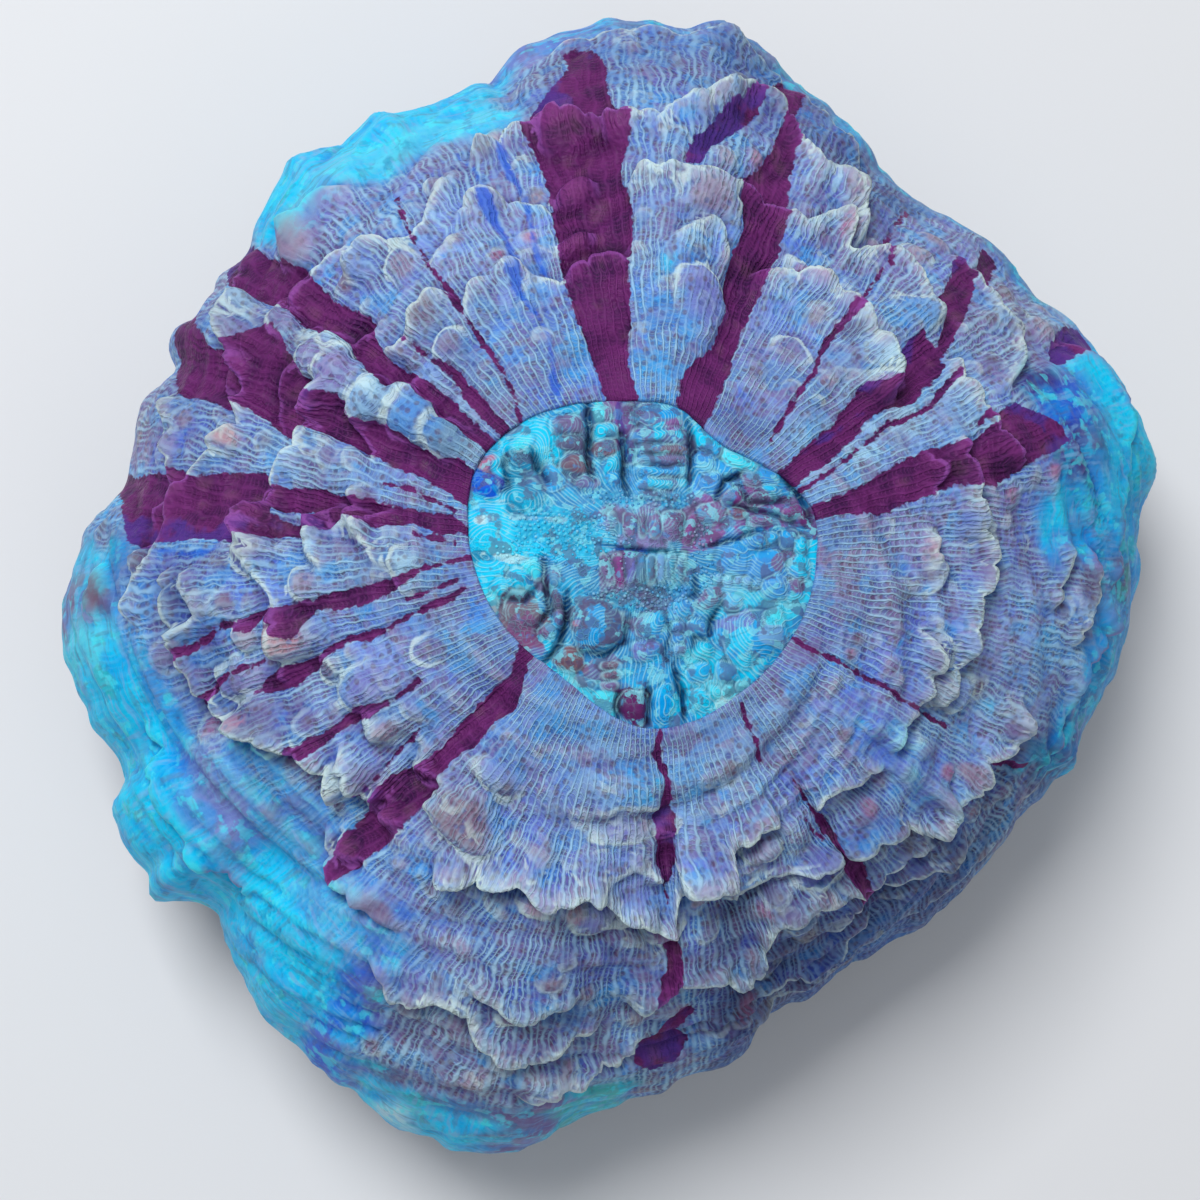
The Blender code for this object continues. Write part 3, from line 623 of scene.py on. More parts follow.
def add_lobe(at_angle, at_share, half_width, half_length, rise, colour=None, ring=0.75):
    """Raises one cap, marks its crown, its pale ring (partly painted highlight) and the painted shade below
    it, and tints the crown.
    """
    spoke = int(round(at_angle / 360.0 * SPOKES)) % SPOKES
    row = int(np.searchsorted(share, at_share))
    to_mm = np.radians(360.0 / SPOKES) * radius[row, spoke]
    spokes = np.arange(spoke - int(1.6 * half_width / to_mm) - 1, spoke + int(1.6 * half_width / to_mm) + 2)
    near = np.nonzero(np.abs(length[:, spoke] - length[row, spoke]) < 1.6 * half_length)[0]
    window = np.ix_(near, spokes % SPOKES)
    across = (spokes - spoke) * to_mm / half_width
    along = (length[near, spoke] - length[row, spoke]) / half_length
    along = np.where(along > 0, along * 1.12, along * 0.88)[:, None]
    reach = np.hypot(across, along) + 0.13 * uneven[window]
    cap = rise * np.maximum(0.0, 1 - reach**2) ** 0.62
    bulge[window] = np.maximum(bulge[window], cap * (1 + 0.25 * along))
    lean[window] += 0.35 * rise * bump(reach, 0.65, 0.45) * step(-0.2, 0.8, along)
    paleness_and_highlight = ring * step(-0.7, 0.5, along) + 0 * reach
    draw_rim(window, (reach - 0.95) * min(half_width, half_length), paleness_and_highlight)
    shade = 0.4 * bump(reach, 1.18, 0.16) * step(0.0, 0.6, along)
    shade_mark[window] = np.maximum(shade_mark[window], shade)
    crown = step(0.85, 0.25, reach)
    crown_mark[window] = np.maximum(crown_mark[window], crown * (0.5 if colour is None else 0.25))
    if colour:
        coloured = step(0.95, 0.45, reach)
        tint[window] += (paint(colour) - tint[window]) * (0.80 * coloured)[..., None]
        knob_mark[window] = np.maximum(knob_mark[window], coloured)


for at_angle, at_share, *lobe in LOBES:
    add_lobe(at_angle, at_share / 100, *lobe)
print(len(LOBES), "lobes placed by hand, up to", max(lobe[4] for lobe in LOBES), "mm proud")

# %% Small scales scattered between them
SCALES = 760
SCALE_CROWNS = ["mauve", "beige", "rose", "brown", "dusk", None, None, None]
dice = np.random.default_rng(7)
for _ in range(SCALES):
    at_angle, at_share = dice.uniform(0, 360), dice.uniform(0.10, 0.97) ** 0.9
    spoke, row = int(at_angle * SPOKES / 360) % SPOKES, int(np.searchsorted(share, at_share))
    size = dice.uniform(0.5, 1.15) * (0.6 + 0.6 * at_share)
    calm = smooth_skin[row, spoke] > 0.5 or wine[row, spoke] > -0.3
    crown = SCALE_CROWNS[dice.integers(len(SCALE_CROWNS))] if size > 0.75 and not calm else None
    add_lobe(at_angle, at_share, size, size * dice.uniform(0.8, 1.3), size * (0.10 if calm else 0.28),
             crown, 0.0 if calm else dice.uniform(0.0, 0.45))
print(SCALES, "small scales added")

# %% [markdown]
# ## Folds, ruffles and the frilled margin
#
# Softer movement goes in last: long swells down the flesh, short ripples across it, and the frill
# of the margin. The outline in plan stays where the solid has it, so the swells fade out there.

# %% Everything added up
swells = 0.50 * on_flesh(7.0, 9.0, 31) + 0.24 * on_flesh(2.6, 3.4, 32)
crease = 1 - np.abs(on_flesh(4.6, 1.5, 33))          # meets in thin wandering crests
near_rim = step(0.02, 0.10, share) * step(0.62, 0.34, share)
ripples = (0.10 * near_rim[:, None] + 0.16) * (crease**3 - 0.35) * (1 - 0.6 * smooth_skin)
pleat = 0.30 * on_flesh(1.7, 9.0, 40) * step(0.72, 0.86, share)[:, None]
velvet = 0.42 * (1 - np.abs(on_flesh(2.2, 5.0, 41))) * smooth_skin
grain = 0.06 * on_flesh(0.62, 0.62, 34) * (1 - 0.8 * smooth_skin)
inside_band = step(-0.3, 0.4, wine)
start = step(0.0, 0.12, share)[:, None]
rim_fade = 0.25 + 0.75 * start
margin_fade = 1 - 0.75 * step(0.84, 1.0, share)[:, None]
frill = 0.32 * hills(angle / 360.0 * 97, 0 * angle, 35)
frill += 0.22 * hills(angle / 360.0 * 194, 0 * angle, 36, 194)
push = shelf * (1 - 0.6 * step(0.9, 1.0, share)[:, None]) * start + bulge
push += (swells + ripples + velvet + grain) * rim_fade


def evened(field, times_round, times_down):
    """A field of the grid with its small hills rubbed out."""
    for _ in range(times_round):
        field = 0.5 * field + 0.25 * (np.roll(field, 1, axis=1) + np.roll(field, -1, axis=1))
    for _ in range(times_down):
        held = np.concatenate((field[:1], field, field[-1:]))
        field = 0.5 * field + 0.25 * (held[:-2] + held[2:])
    return field


# The crests of this fine relief are marked for a painted highlight, with a rosy blush of their own on some
# of them, and its hollows are marked for painted shade.
fine = push - evened(push, 12, 36)
crest_highlight_and_blush_mark = np.clip((fine - 0.04) / 0.24, 0, 1)
hollow_shade_mark = np.clip(-fine / 0.22, 0, 1)
print("crests on", round(100 * (crest_highlight_and_blush_mark > 0.5).mean()), "% and hollows on",
      round(100 * (hollow_shade_mark > 0.5).mean()), "% of the grid")
push += (pleat - 0.28 * inside_band) * rim_fade
push *= margin_fade
slide = lean * margin_fade
fleshy = plain + outwards * push[..., None] + down * slide[..., None]
fleshy[..., :2] += (
    outwards[..., :2] / np.linalg.norm(outwards[..., :2], axis=-1, keepdims=True).clip(0.05)
    * (frill * step(0.80, 1.0, share)[:, None])[..., None]
)
print("relief from", round(push.min(), 2), "to", round(push.max(), 2), "mm")

# %% [markdown]
# ## From the grid to rings
#
# The fine grid is only for working out. The mesh has 110 rings on the upper side, and each spoke
# spends them where its own surface is longest, so the steep drops of the shelves get their share.
# More rings make the rolled lip at the disc, the skirt that turns under, and the inside of the ring.

# %% Rings over the top
RINGS = 110
steps_down = np.linalg.norm(np.diff(fleshy, axis=0, prepend=fleshy[:1]), axis=-1)
steps_down = sum(np.roll(steps_down, turn, axis=1) for turn in range(-4, 5)) / 9.0
along_flesh = np.cumsum(steps_down, axis=0)
along_flesh = 0.72 * along_flesh / along_flesh[-1] + 0.28 * length / length[-1]
ring_row = np.stack(
    [np.interp(np.linspace(0, 1, RINGS), along_flesh[:, i], np.arange(STEPS)) for i in range(SPOKES)], axis=1
)
low_row = np.minimum(ring_row.astype(int), STEPS - 2)
part_row = ring_row - low_row


def on_rings(field):
    """A field of the fine grid, read where the rings cross the spokes."""
    part = part_row[..., None] if field.ndim == 3 else part_row
    spokes = np.arange(SPOKES)
    return field[low_row, spokes] * (1 - part) + field[low_row + 1, spokes] * part


top = on_rings(fleshy)

# %% Lip, skirt and the hidden inside
LIP = [(-0.30, 16.0), (-0.20, 3.2), (-0.02, 1.8), (-0.10, 0.9), (-0.18, 0.42), (-0.12, 0.10)]  # (in, below)
SKIRT = [  # (share of the way from foot to margin, share of the drop, share of the rise inside)
    (0, 1.0, 0.0, 0.0), (1, 0.998, 0.16, 0.0), (2, 0.985, 0.40, 0.0), (3, 0.93, 0.80, 0.0),
    (4, 0.84, 1.0, 0.0), (5, 0.68, 1.0, 0.12), (6, 0.48, 1.0, 0.5), (7, 0.24, 1.0, 0.85), (8, 0.0, 1.0, 1.0),
]
SKIRT_RINGS = 20
edge = SKIRT_LIP_HEIGHT + SKIRT_WAVE * (
    0.6 * np.sin(5 * np.radians(angle) + 0.8) + 0.4 * np.sin(9 * np.radians(angle))
)
lip = []
for inwards, below in LIP:
    hang = np.maximum(top[0, :, 2] - below, UNDERSIDE_HEIGHT + 0.3)
    lip.append(around(inner + inwards * (1 + 0.25 * hills(angle / 3.75, angle * 0, 37, 96)), angle, hang))
table = np.array(SKIRT, float)
place = np.linspace(0, 8, SKIRT_RINGS + 1)[1:]
reach, drop, rise = (open_curve(table[:, (0, column)], place) for column in (1, 2, 3))
moved = top[-1] - around(outer, angle, 0 * angle + MARGIN_HEIGHT)
pleats = 0.45 * hills(angle / 360.0 * 61, angle * 0, 38, 61) + 0.25 * hills(angle / 3.0, angle * 0, 39, 120)
skirt = []
for ring in range(SKIRT_RINGS):
    how_far = FOOT_TOP_RADIUS + (outer - FOOT_TOP_RADIUS) * reach[ring]
    height = MARGIN_HEIGHT + (edge - MARGIN_HEIGHT) * drop[ring] + (UNDERSIDE_HEIGHT - edge) * rise[ring]
    keep = 1 - step(0.0, 4.5, place[ring])
    folded = pleats * step(0.0, 1.5, place[ring]) * (1 - step(4.0, 7.5, place[ring]))
    skirt.append(around(how_far + folded, angle, height) + moved * keep)
under = [
    around(FOOT_TOP_RADIUS + (inner - FOOT_TOP_RADIUS) * part, angle, UNDERSIDE_HEIGHT + 0.3)
    for part in (0.5, 1.0)
]
points = np.concatenate((lip, top, skirt, under))
print("mantle:", points.shape[0], "rings of", SPOKES, "points")

# %% Making a mesh out of rings


def ring_faces(rings, around_count):
    """Four-sided faces between rings, closed all the way round and from the last ring to the first."""
    ring, spoke = np.meshgrid(np.arange(rings), np.arange(around_count), indexing="ij")
    here, after = ring * around_count, (ring + 1) % rings * around_count
    beside = (spoke + 1) % around_count
    return np.stack((here + spoke, after + spoke, after + beside, here + beside), axis=-1).reshape(-1, 4)


def placed(name, data):
    """A new object in the scene, with this mesh, lamp or camera."""
    thing = bpy.data.objects.new(name, data)
    bpy.context.scene.collection.objects.link(thing)
    return thing


def new_piece(name, points_mm, faces):
    """A smooth-shaded object from points in millimetres."""
    mesh = bpy.data.meshes.new(name)
    mesh.from_pydata((points_mm.reshape(-1, 3) * MM).tolist(), [], [list(face) for face in faces])
    mesh.shade_smooth()
    return placed(name, mesh)


def mark(piece, name, values):
    """Stores one number, or one colour, for each point of the piece."""
    if values.ndim == 3 or values.shape[-1:] == (3,):
        flat = values.reshape(-1, 3)
        colours = np.concatenate((flat, np.ones((len(flat), 1))), axis=1)
        piece.data.attributes.new(name, "FLOAT_COLOR", "POINT").data.foreach_set("color", colours.ravel())
    else:
        piece.data.attributes.new(name, "FLOAT", "POINT").data.foreach_set("value", values.ravel())


def whole_mantle(field, under_value=0.0):
    """A field of the grid on every ring: the lip repeats the first row, the skirt blurs and fades."""
    rows = on_rings(field)
    first = np.repeat(rows[:1], len(lip), axis=0)
    fade = step(0.8, 4.0, place).reshape((-1,) + (1,) * (rows.ndim - 1))
    last = [rows[-1:]]
    for _ in place:
        last.append(evened(last[-1], 16, 0))
    last = np.concatenate(last[1:]) * (1 - fade) + under_value * fade
    hidden = np.repeat(0 * rows[:1] + under_value, len(under), axis=0)
    return np.concatenate((first, rows, last, hidden))


mantle = new_piece("mantle", points, ring_faces(len(points), SPOKES))
for name, (field, below) in {   # each with what it comes to under the skirt
    "tint": (tint, paint("belly")), "wine": (np.clip(wine, -3, 3), -3.0),
    "streak": (np.clip(streak, -3, 3), -3.0), "violet": (violet, 0.0), "rim": (edge_paleness_and_highlight, 0.0),
    "shade": (shade_mark, 0.0), "crown": (crown_mark, 0.0), "crest_highlight_and_blush": (crest_highlight_and_blush_mark, 0.0),
    "knob": (knob_mark, 0.0), "hollow_shade": (hollow_shade_mark, 0.0), "smooth": (smooth_skin, 1.0),
    "away": (np.clip(rim_away, -3, 3), 3.0), "dark_and_shaded": (dark_and_shaded, 0.0), "belly": (0 * radius, 1.0),
    "far": (np.clip(np.abs(rim_away), 0, 3), 3.0),   # tells a real edge from a jump in "away"
}.items():
    mark(mantle, name, whole_mantle(field, below))

# %% A map that runs with the spokes
turn_of = np.tile(angle / 360.0, (len(points), 1))
path_of = np.concatenate((
    np.tile(-np.array([row[1] for row in LIP])[:, None], SPOKES), on_rings(length),
    length[-1] + place[:, None] * 2.2, np.tile(length[-1] + 26.0, (len(under), 1)),
)) / 50.0
corner = np.empty(len(mantle.data.loops), int)
mantle.data.loops.foreach_get("vertex_index", corner)
across_map = turn_of.ravel()[corner].reshape(-1, 4)
across_map[(across_map.max(axis=1) > 0.9)[:, None] & (across_map < 0.1)] += 1.0
spoke_map = mantle.data.uv_layers.new(name="spokes")
spoke_map.data.foreach_set(
    "uv", np.stack((across_map.ravel(), path_of.ravel()[corner]), axis=1).astype(np.float32).ravel()
)
mark(mantle, "turn", turn_of)
print("mantle has", len(mantle.data.polygons), "faces")

# %% [markdown]
# ## Short ways of building node trees
#
# A material or a Geometry Nodes tree built by hand is a row of boxes and wires. Two small helpers
# let a line of script read like a sum: a `Wire` is an output that can be added and multiplied, and a
# `Tree` adds nodes, sets them up and wires their inputs.

# %% The tree helper


class Wire:
    """An output of a node that can stand in a sum, as a number does."""

    def __init__(self, tree, socket):
        self.tree, self.socket = tree, socket

    def beside(self, output):
        """Another output of the same node."""
        return Wire(self.tree, self.socket.node.outputs[output])

    def __add__(self, other):
        return self.tree.math("ADD", self, other)

    def __sub__(self, other):
        return self.tree.math("SUBTRACT", self, other)

    def __rsub__(self, other):
        return self.tree.math("SUBTRACT", other, self)

    def __mul__(self, other):
        return self.tree.math("MULTIPLY", self, other)

    def __truediv__(self, other):
        return self.tree.math("DIVIDE", self, other)


class Tree:
    """Adds nodes to a node tree and wires them."""

    def __init__(self, tree):
        self.tree = tree

    def give(self, socket, value):
        """Sets an input, or wires it."""
        if isinstance(value, Wire):
            self.tree.links.new(value.socket, socket)
        else:
            socket.default_value = value

    def add(self, kind, output=0, inputs=None, **settings):
        """One node, with its settings and its inputs; gives the output that is asked for."""
        node = self.tree.nodes.new(kind)
        for name, value in settings.items():
            setattr(node, name, value)
        for name, value in (inputs or {}).items():
            self.give(node.inputs[name], value)
        return Wire(self, node.outputs[output])

    def math(self, operation, *values):
        """Arithmetic on one, two or three values."""
        return self.add("ShaderNodeMath", 0, dict(enumerate(values)), operation=operation)

    def most(self, *values):
        """The greatest of some values."""
        best = values[0]
        for value in values[1:]:
            best = self.math("MAXIMUM", best, value)
        return best

    def saw(self, value):
        """0 at whole numbers and 0.5 halfway between them."""
        return self.math("PINGPONG", value, 0.5)

    def step(self, value, low, high):
        """0 at low, 1 at high, smooth between; low may be the higher one."""
        inputs = {"Value": value, "From Min": low, "From Max": high}
        return self.add("ShaderNodeMapRange", 0, inputs, interpolation_type="SMOOTHSTEP")

    def lines(self, coordinate, width, softness):
        """1 on thin lines wherever the coordinate is a whole number."""
        return self.step(self.saw(coordinate), width + softness, width)

    def noise(self, size_mm, detail=2.0):
        """Soft noise with blobs of about this size."""
        inputs = {"Vector": self.place, "Scale": 1.0 / (size_mm * MM), "Detail": detail}
        return self.add("ShaderNodeTexNoise", 0, inputs)

    def cells(self, size_mm, randomness=1.0, **settings):
        """Cells of about this size; gives the distance from the middle of each."""
        inputs = {"Vector": self.place, "Scale": 1.0 / (size_mm * MM), "Randomness": randomness}
        return self.add("ShaderNodeTexVoronoi", "Distance", inputs, **settings)

    def read(self, name, output="Fac"):
        """An attribute of the mesh."""
        return self.add("ShaderNodeAttribute", output, attribute_name=name)

    def mix(self, strength, under, over, how="MIX"):
        """One colour over another."""
        colours = [value if isinstance(value, Wire) else (*value, 1.0) for value in (under, over)]
        inputs = {0: strength, 6: colours[0], 7: colours[1]}
        return self.add("ShaderNodeMix", 2, inputs, data_type="RGBA", blend_type=how)

    def laid(self, under, *layers):
        """Layers of (strength, colour) over a colour; a colour in plain numbers only darkens."""
        for strength, colour in layers:
            if isinstance(colour, tuple):
                under = self.mix(strength, under, colour, "MULTIPLY")
            else:
                under = self.mix(strength, under, paint(colour) if isinstance(colour, str) else colour)
        return under

    def blotched(self, under, *blotches):
        """Soft blotches of (mm across, none at, full at, strength, colour and, if not all over, where)."""
        for size_mm, low, high, strength, colour, *where in blotches:
            strong = self.step(self.noise(size_mm, 3.0), low, high) * strength
            under = self.mix(strong * where[0] if where else strong, under, paint(colour))
        return under


def new_material(name):
    """A material with an empty tree except for its shader: the material, the helper, the shader."""
    material = bpy.data.materials.new(name)
    material.use_nodes = True
    tree = Tree(material.node_tree)
    tree.place = tree.add("ShaderNodeTexCoord", "Object")
    return material, tree, material.node_tree.nodes["Principled BSDF"].inputs


def bumpy(tree, shader, height, depth_mm, strength=1.0):
    """Fine relief of this depth on a surface."""
    inputs = {"Strength": strength, "Distance": depth_mm * MM, "Height": height}
    tree.give(shader["Normal"], tree.add("ShaderNodeBump", 0, inputs))


def wet(tree, shader, colour, mottle_mm, dullest, shine, soft=0.10):
    """Wet but not glassy: satin, with a little light carried below the surface."""
    tree.give(shader["Base Color"], colour)
    tree.give(shader["Roughness"], tree.step(tree.noise(mottle_mm), -0.6, dullest))
    shader["Specular IOR Level"].default_value = shine
    shader["Subsurface Weight"].default_value = soft
    shader["Subsurface Radius"].default_value = (0.6, 0.8, 1.2)
    shader["Subsurface Scale"].default_value = 1.0 * MM


# %% [markdown]
# ## The mantle's skin
#
# Up close the skin is a net: fine pale threads run down the spokes, finer ones cross them, and the
# meshes between hold dots of brown or deep blue. The threads follow the map that runs with the
# spokes, so they spread as the dome widens. Over that lie the dusky crowns, painted shade under the
# shelves and in the hollows, painted highlights on the crests, the sharp wine-red bands, which have
# threads of their own, and the pale rolled edges, partly painted highlight.

# %% Threads, hairs and dots
THREADS = 220          # pale threads round the polyp at the disc; there are twice as many farther down
CROSS_THREAD = 0.36    # mm between the threads that cross them
DOT = 0.56             # mm from dot to dot
MAP_LENGTH = 50.0      # mm down the flesh for 1 on the map

skin, t, shader = new_material("mantle skin")
smooth, crest_highlight_and_blush, crown, shade, hollow_shade, knob, dark_and_shaded = (
    t.read(name) for name in ("smooth", "crest_highlight_and_blush", "crown", "shade", "hollow_shade", "knob", "dark_and_shaded")
)
rough = 1.0 - smooth
round_map = t.add("ShaderNodeSeparateXYZ", 0, {0: t.add("ShaderNodeUVMap", uv_map="spokes")})
down_map = round_map.beside(1)
waver, quiver = t.noise(2.6) - 0.5, t.noise(0.7) - 0.5
turn = round_map * THREADS + waver * 1.7 + quiver * 0.40
path = down_map * (MAP_LENGTH / CROSS_THREAD) + waver * 5.0 + quiver
path = path + t.saw(turn) * 0.7      # the cross threads sag between the long ones
radians_round = round_map * (2 * math.pi)


def strands(width_round, run_down):
    """Noise drawn out round the polyp or down it: hairs of this width and run, in mm."""
    wide = 25.0 / width_round     # a circle of this radius goes round once without a seam
    return t.add("ShaderNodeTexNoise", 0, {"Scale": 1.0, "Vector": t.add("ShaderNodeCombineXYZ", 0, {
        0: t.math("COSINE", radians_round) * wide, 1: t.math("SINE", radians_round) * wide,
        2: down_map * (MAP_LENGTH / run_down) + waver * 3.0,
    })})


hair_round, hair_down = strands(2.4, 0.42), strands(0.40, 2.6)
hair = hair_round + (hair_down - hair_round) * t.step(t.noise(4.5), 0.47, 0.55)
threads, crossing = t.lines(turn, 0.06, 0.20), t.lines(path, 0.05, 0.22)
fine_threads = t.lines(turn * 2.0, 0.07, 0.22) * t.step(down_map, 0.14, 0.24)
net = t.most(threads, fine_threads * 0.85, crossing * 0.45)
net = net * (t.step(t.noise(2.2, 3.0), 0.36, 0.62) * 0.65 + 0.35)
dots = t.cells(DOT, 0.9)
dot = t.step(dots, 0.55, 0.25) * rough
pick = t.add("ShaderNodeSeparateColor", 0, {0: dots.beside("Color")})   # a random number for each dot
print("net, hairs and dots:", len(t.tree.nodes), "nodes")

# %% Flesh between the bands
bare = t.read("tint", "Color")
flesh = t.blotched(
    bare, (3.4, 0.50, 0.64, 0.45, "gentian", rough), (3.6, 0.50, 0.62, 0.55, "lagoon", smooth),
    (2.2, 0.54, 0.60, 0.50, "cyan", smooth), (1.6, 0.57, 0.66, 0.40, "teal", smooth),
    (2.4, 0.57, 0.64, 0.45, "green", smooth * t.step(t.noise(9.0), 0.46, 0.56)),
    (1.2, 0.57, 0.64, 0.55, "glow", smooth), (2.3, 0.53, 0.62, 0.40, "lilac", rough),
    (1.9, 0.50, 0.58, 0.60, "mauve", rough), (2.8, 0.53, 0.60, 0.55, "sky", rough),
    (1.2, 0.55, 0.66, 0.38, "pale", rough),
)
rosy = t.step(t.noise(3.0), 0.44, 0.54) * rough * 0.55
dusky = t.step(t.noise(6.0, 3.0), 0.40, 0.60) * rough
net_here = net * (rough * 0.85 + 0.15) * (0.62 - knob * 0.30)
# The pale colour of the painted highlights on the crests and of the pale edge lines.
highlight_tint = t.mix(t.step(t.noise(7.0), 0.46, 0.54), paint("glow"), paint("lilac"))
pale = t.mix(smooth, paint("ivory"), highlight_tint)
# The pale edge line is partly the edge's own paleness and partly a painted highlight.
wandering = t.math("ABSOLUTE", t.read("away")) + quiver * 0.30
pale_edge_and_highlight = t.step(wandering, 0.30, 0.08) * t.read("rim") * t.step(t.read("far"), 0.52, 0.36)
in_streak = t.step(t.read("streak") + quiver * 0.60, -0.10, 0.25)
# Painted light among these layers: the hollows and the drop under each shelf are darkened as painted shade,
# the crests are lightened as a painted highlight (their rosy blush is their own tint), the dark stretches
# are partly the flesh's own dark tone and partly painted shade, and the pale edge line is partly a painted
# highlight.
flesh = t.laid(
    flesh, (t.step(hair, 0.54, 0.70) * 0.55, "pale"), (t.step(hair, 0.46, 0.32) * 0.35, "dusk"),
    (crest_highlight_and_blush * rosy, "blush"), (dusky * 0.30, "mauve"), (t.read("belly") * 0.75, "belly"), (knob * 0.90, bare),
    (dot * t.step(pick, 0.52, 0.62) * 0.60, "umber"), (dot * t.step(pick, 0.36, 0.26) * 0.65, "deep"),
    (hollow_shade * 0.65, (0.45, 0.45, 0.76)), (crown * 0.50, "mauve"), (net_here, "cream"),
    (crest_highlight_and_blush * (smooth * 0.26 + 0.22), pale), (in_streak * 0.72, "royal"), (shade * 0.85, (0.26, 0.27, 0.50)),
    (dark_and_shaded, (0.34, 0.36, 0.54)), (pale_edge_and_highlight * (0.85 - dark_and_shaded * 0.35), pale),
)

# %% Bands, relief and gloss
torn = (t.noise(1.8, 4.0) - 0.5) * 2.6 + t.read("violet")
band = t.mix(t.step(t.noise(2.4, 3.0), 0.40, 0.66), paint("wine"), paint("port"))
# In the bands too, the hollows and the drop under each shelf are painted shade, and the lighter magenta on
# the crests is a painted highlight.
band = t.laid(
    band, (t.most(threads, crossing) * 0.24, "claret"), (t.step(torn, 0.45, 1.00) * 0.70, "violet"),
    (crown * 0.45, "brown"), (hollow_shade * 0.70, (0.45, 0.40, 0.50)), (crest_highlight_and_blush * 0.22, "magenta"),
    (shade * 0.75, (0.30, 0.25, 0.35)), (pale_edge_and_highlight * 0.80, "orchid"),
)
in_band = t.step(t.read("wine") + quiver * 0.80, -0.05, 0.08)
raised = net * (rough * 0.8 + 0.2) + t.noise(0.35) * 0.35 - dot * 0.35
bumpy(t, shader, raised, 0.10)
wet(t, shader, t.mix(in_band, flesh, band), 1.4, 1.6, 0.09)
mantle.data.materials.append(skin)
print("skin:", len(t.tree.nodes), "nodes")


# %% [markdown]
# ## The oral disc
#
# Inside the mantle's lip lies the oral disc: a slit of a mouth between two swollen pads, folds
# that run to it from the rim like pillars, a stream of fine beads, and bulging lobes in cyan, blue
# and mauve. It is a lens whose edge is tucked under the lip. A square grid of points is pressed
# round for it, so that no pole of thin triangles shows in the middle. Each fold, lobe and crease
# is listed one by one, in millimetres from a point beside the axis.

# %% A round grid
DISC_STEPS = 250
DISC_FROM = (-0.15, -0.38)   # the point that the disc's features are measured from
UNDER_LIP = 0.8              # how far the disc's edge goes in below the lip

a, b = np.meshgrid(np.linspace(-1, 1, DISC_STEPS), np.linspace(-1, 1, DISC_STEPS))
steep = np.abs(b) > np.abs(a)
reach = np.where(steep, np.abs(b), np.abs(a))
with np.errstate(divide="ignore", invalid="ignore"):
    lean_of = np.nan_to_num(np.where(steep, a / b, b / a))
bearing = np.where(steep, np.where(b > 0, 90.0, 270.0) - 45.0 * lean_of,
                   np.where(a > 0, 0.0, 180.0) + 45.0 * lean_of)
disc_radius = closed_curve(DISC_OUTLINE, bearing)
disc_reach = (disc_radius + UNDER_LIP) * reach
disc_x = AXIS_AT[0] + disc_reach * np.cos(np.radians(bearing)) - DISC_FROM[0]
disc_y = AXIS_AT[1] + disc_reach * np.sin(np.radians(bearing)) - DISC_FROM[1]
print("points", round(2 * disc_radius.mean() / DISC_STEPS, 2), "mm apart on the disc")

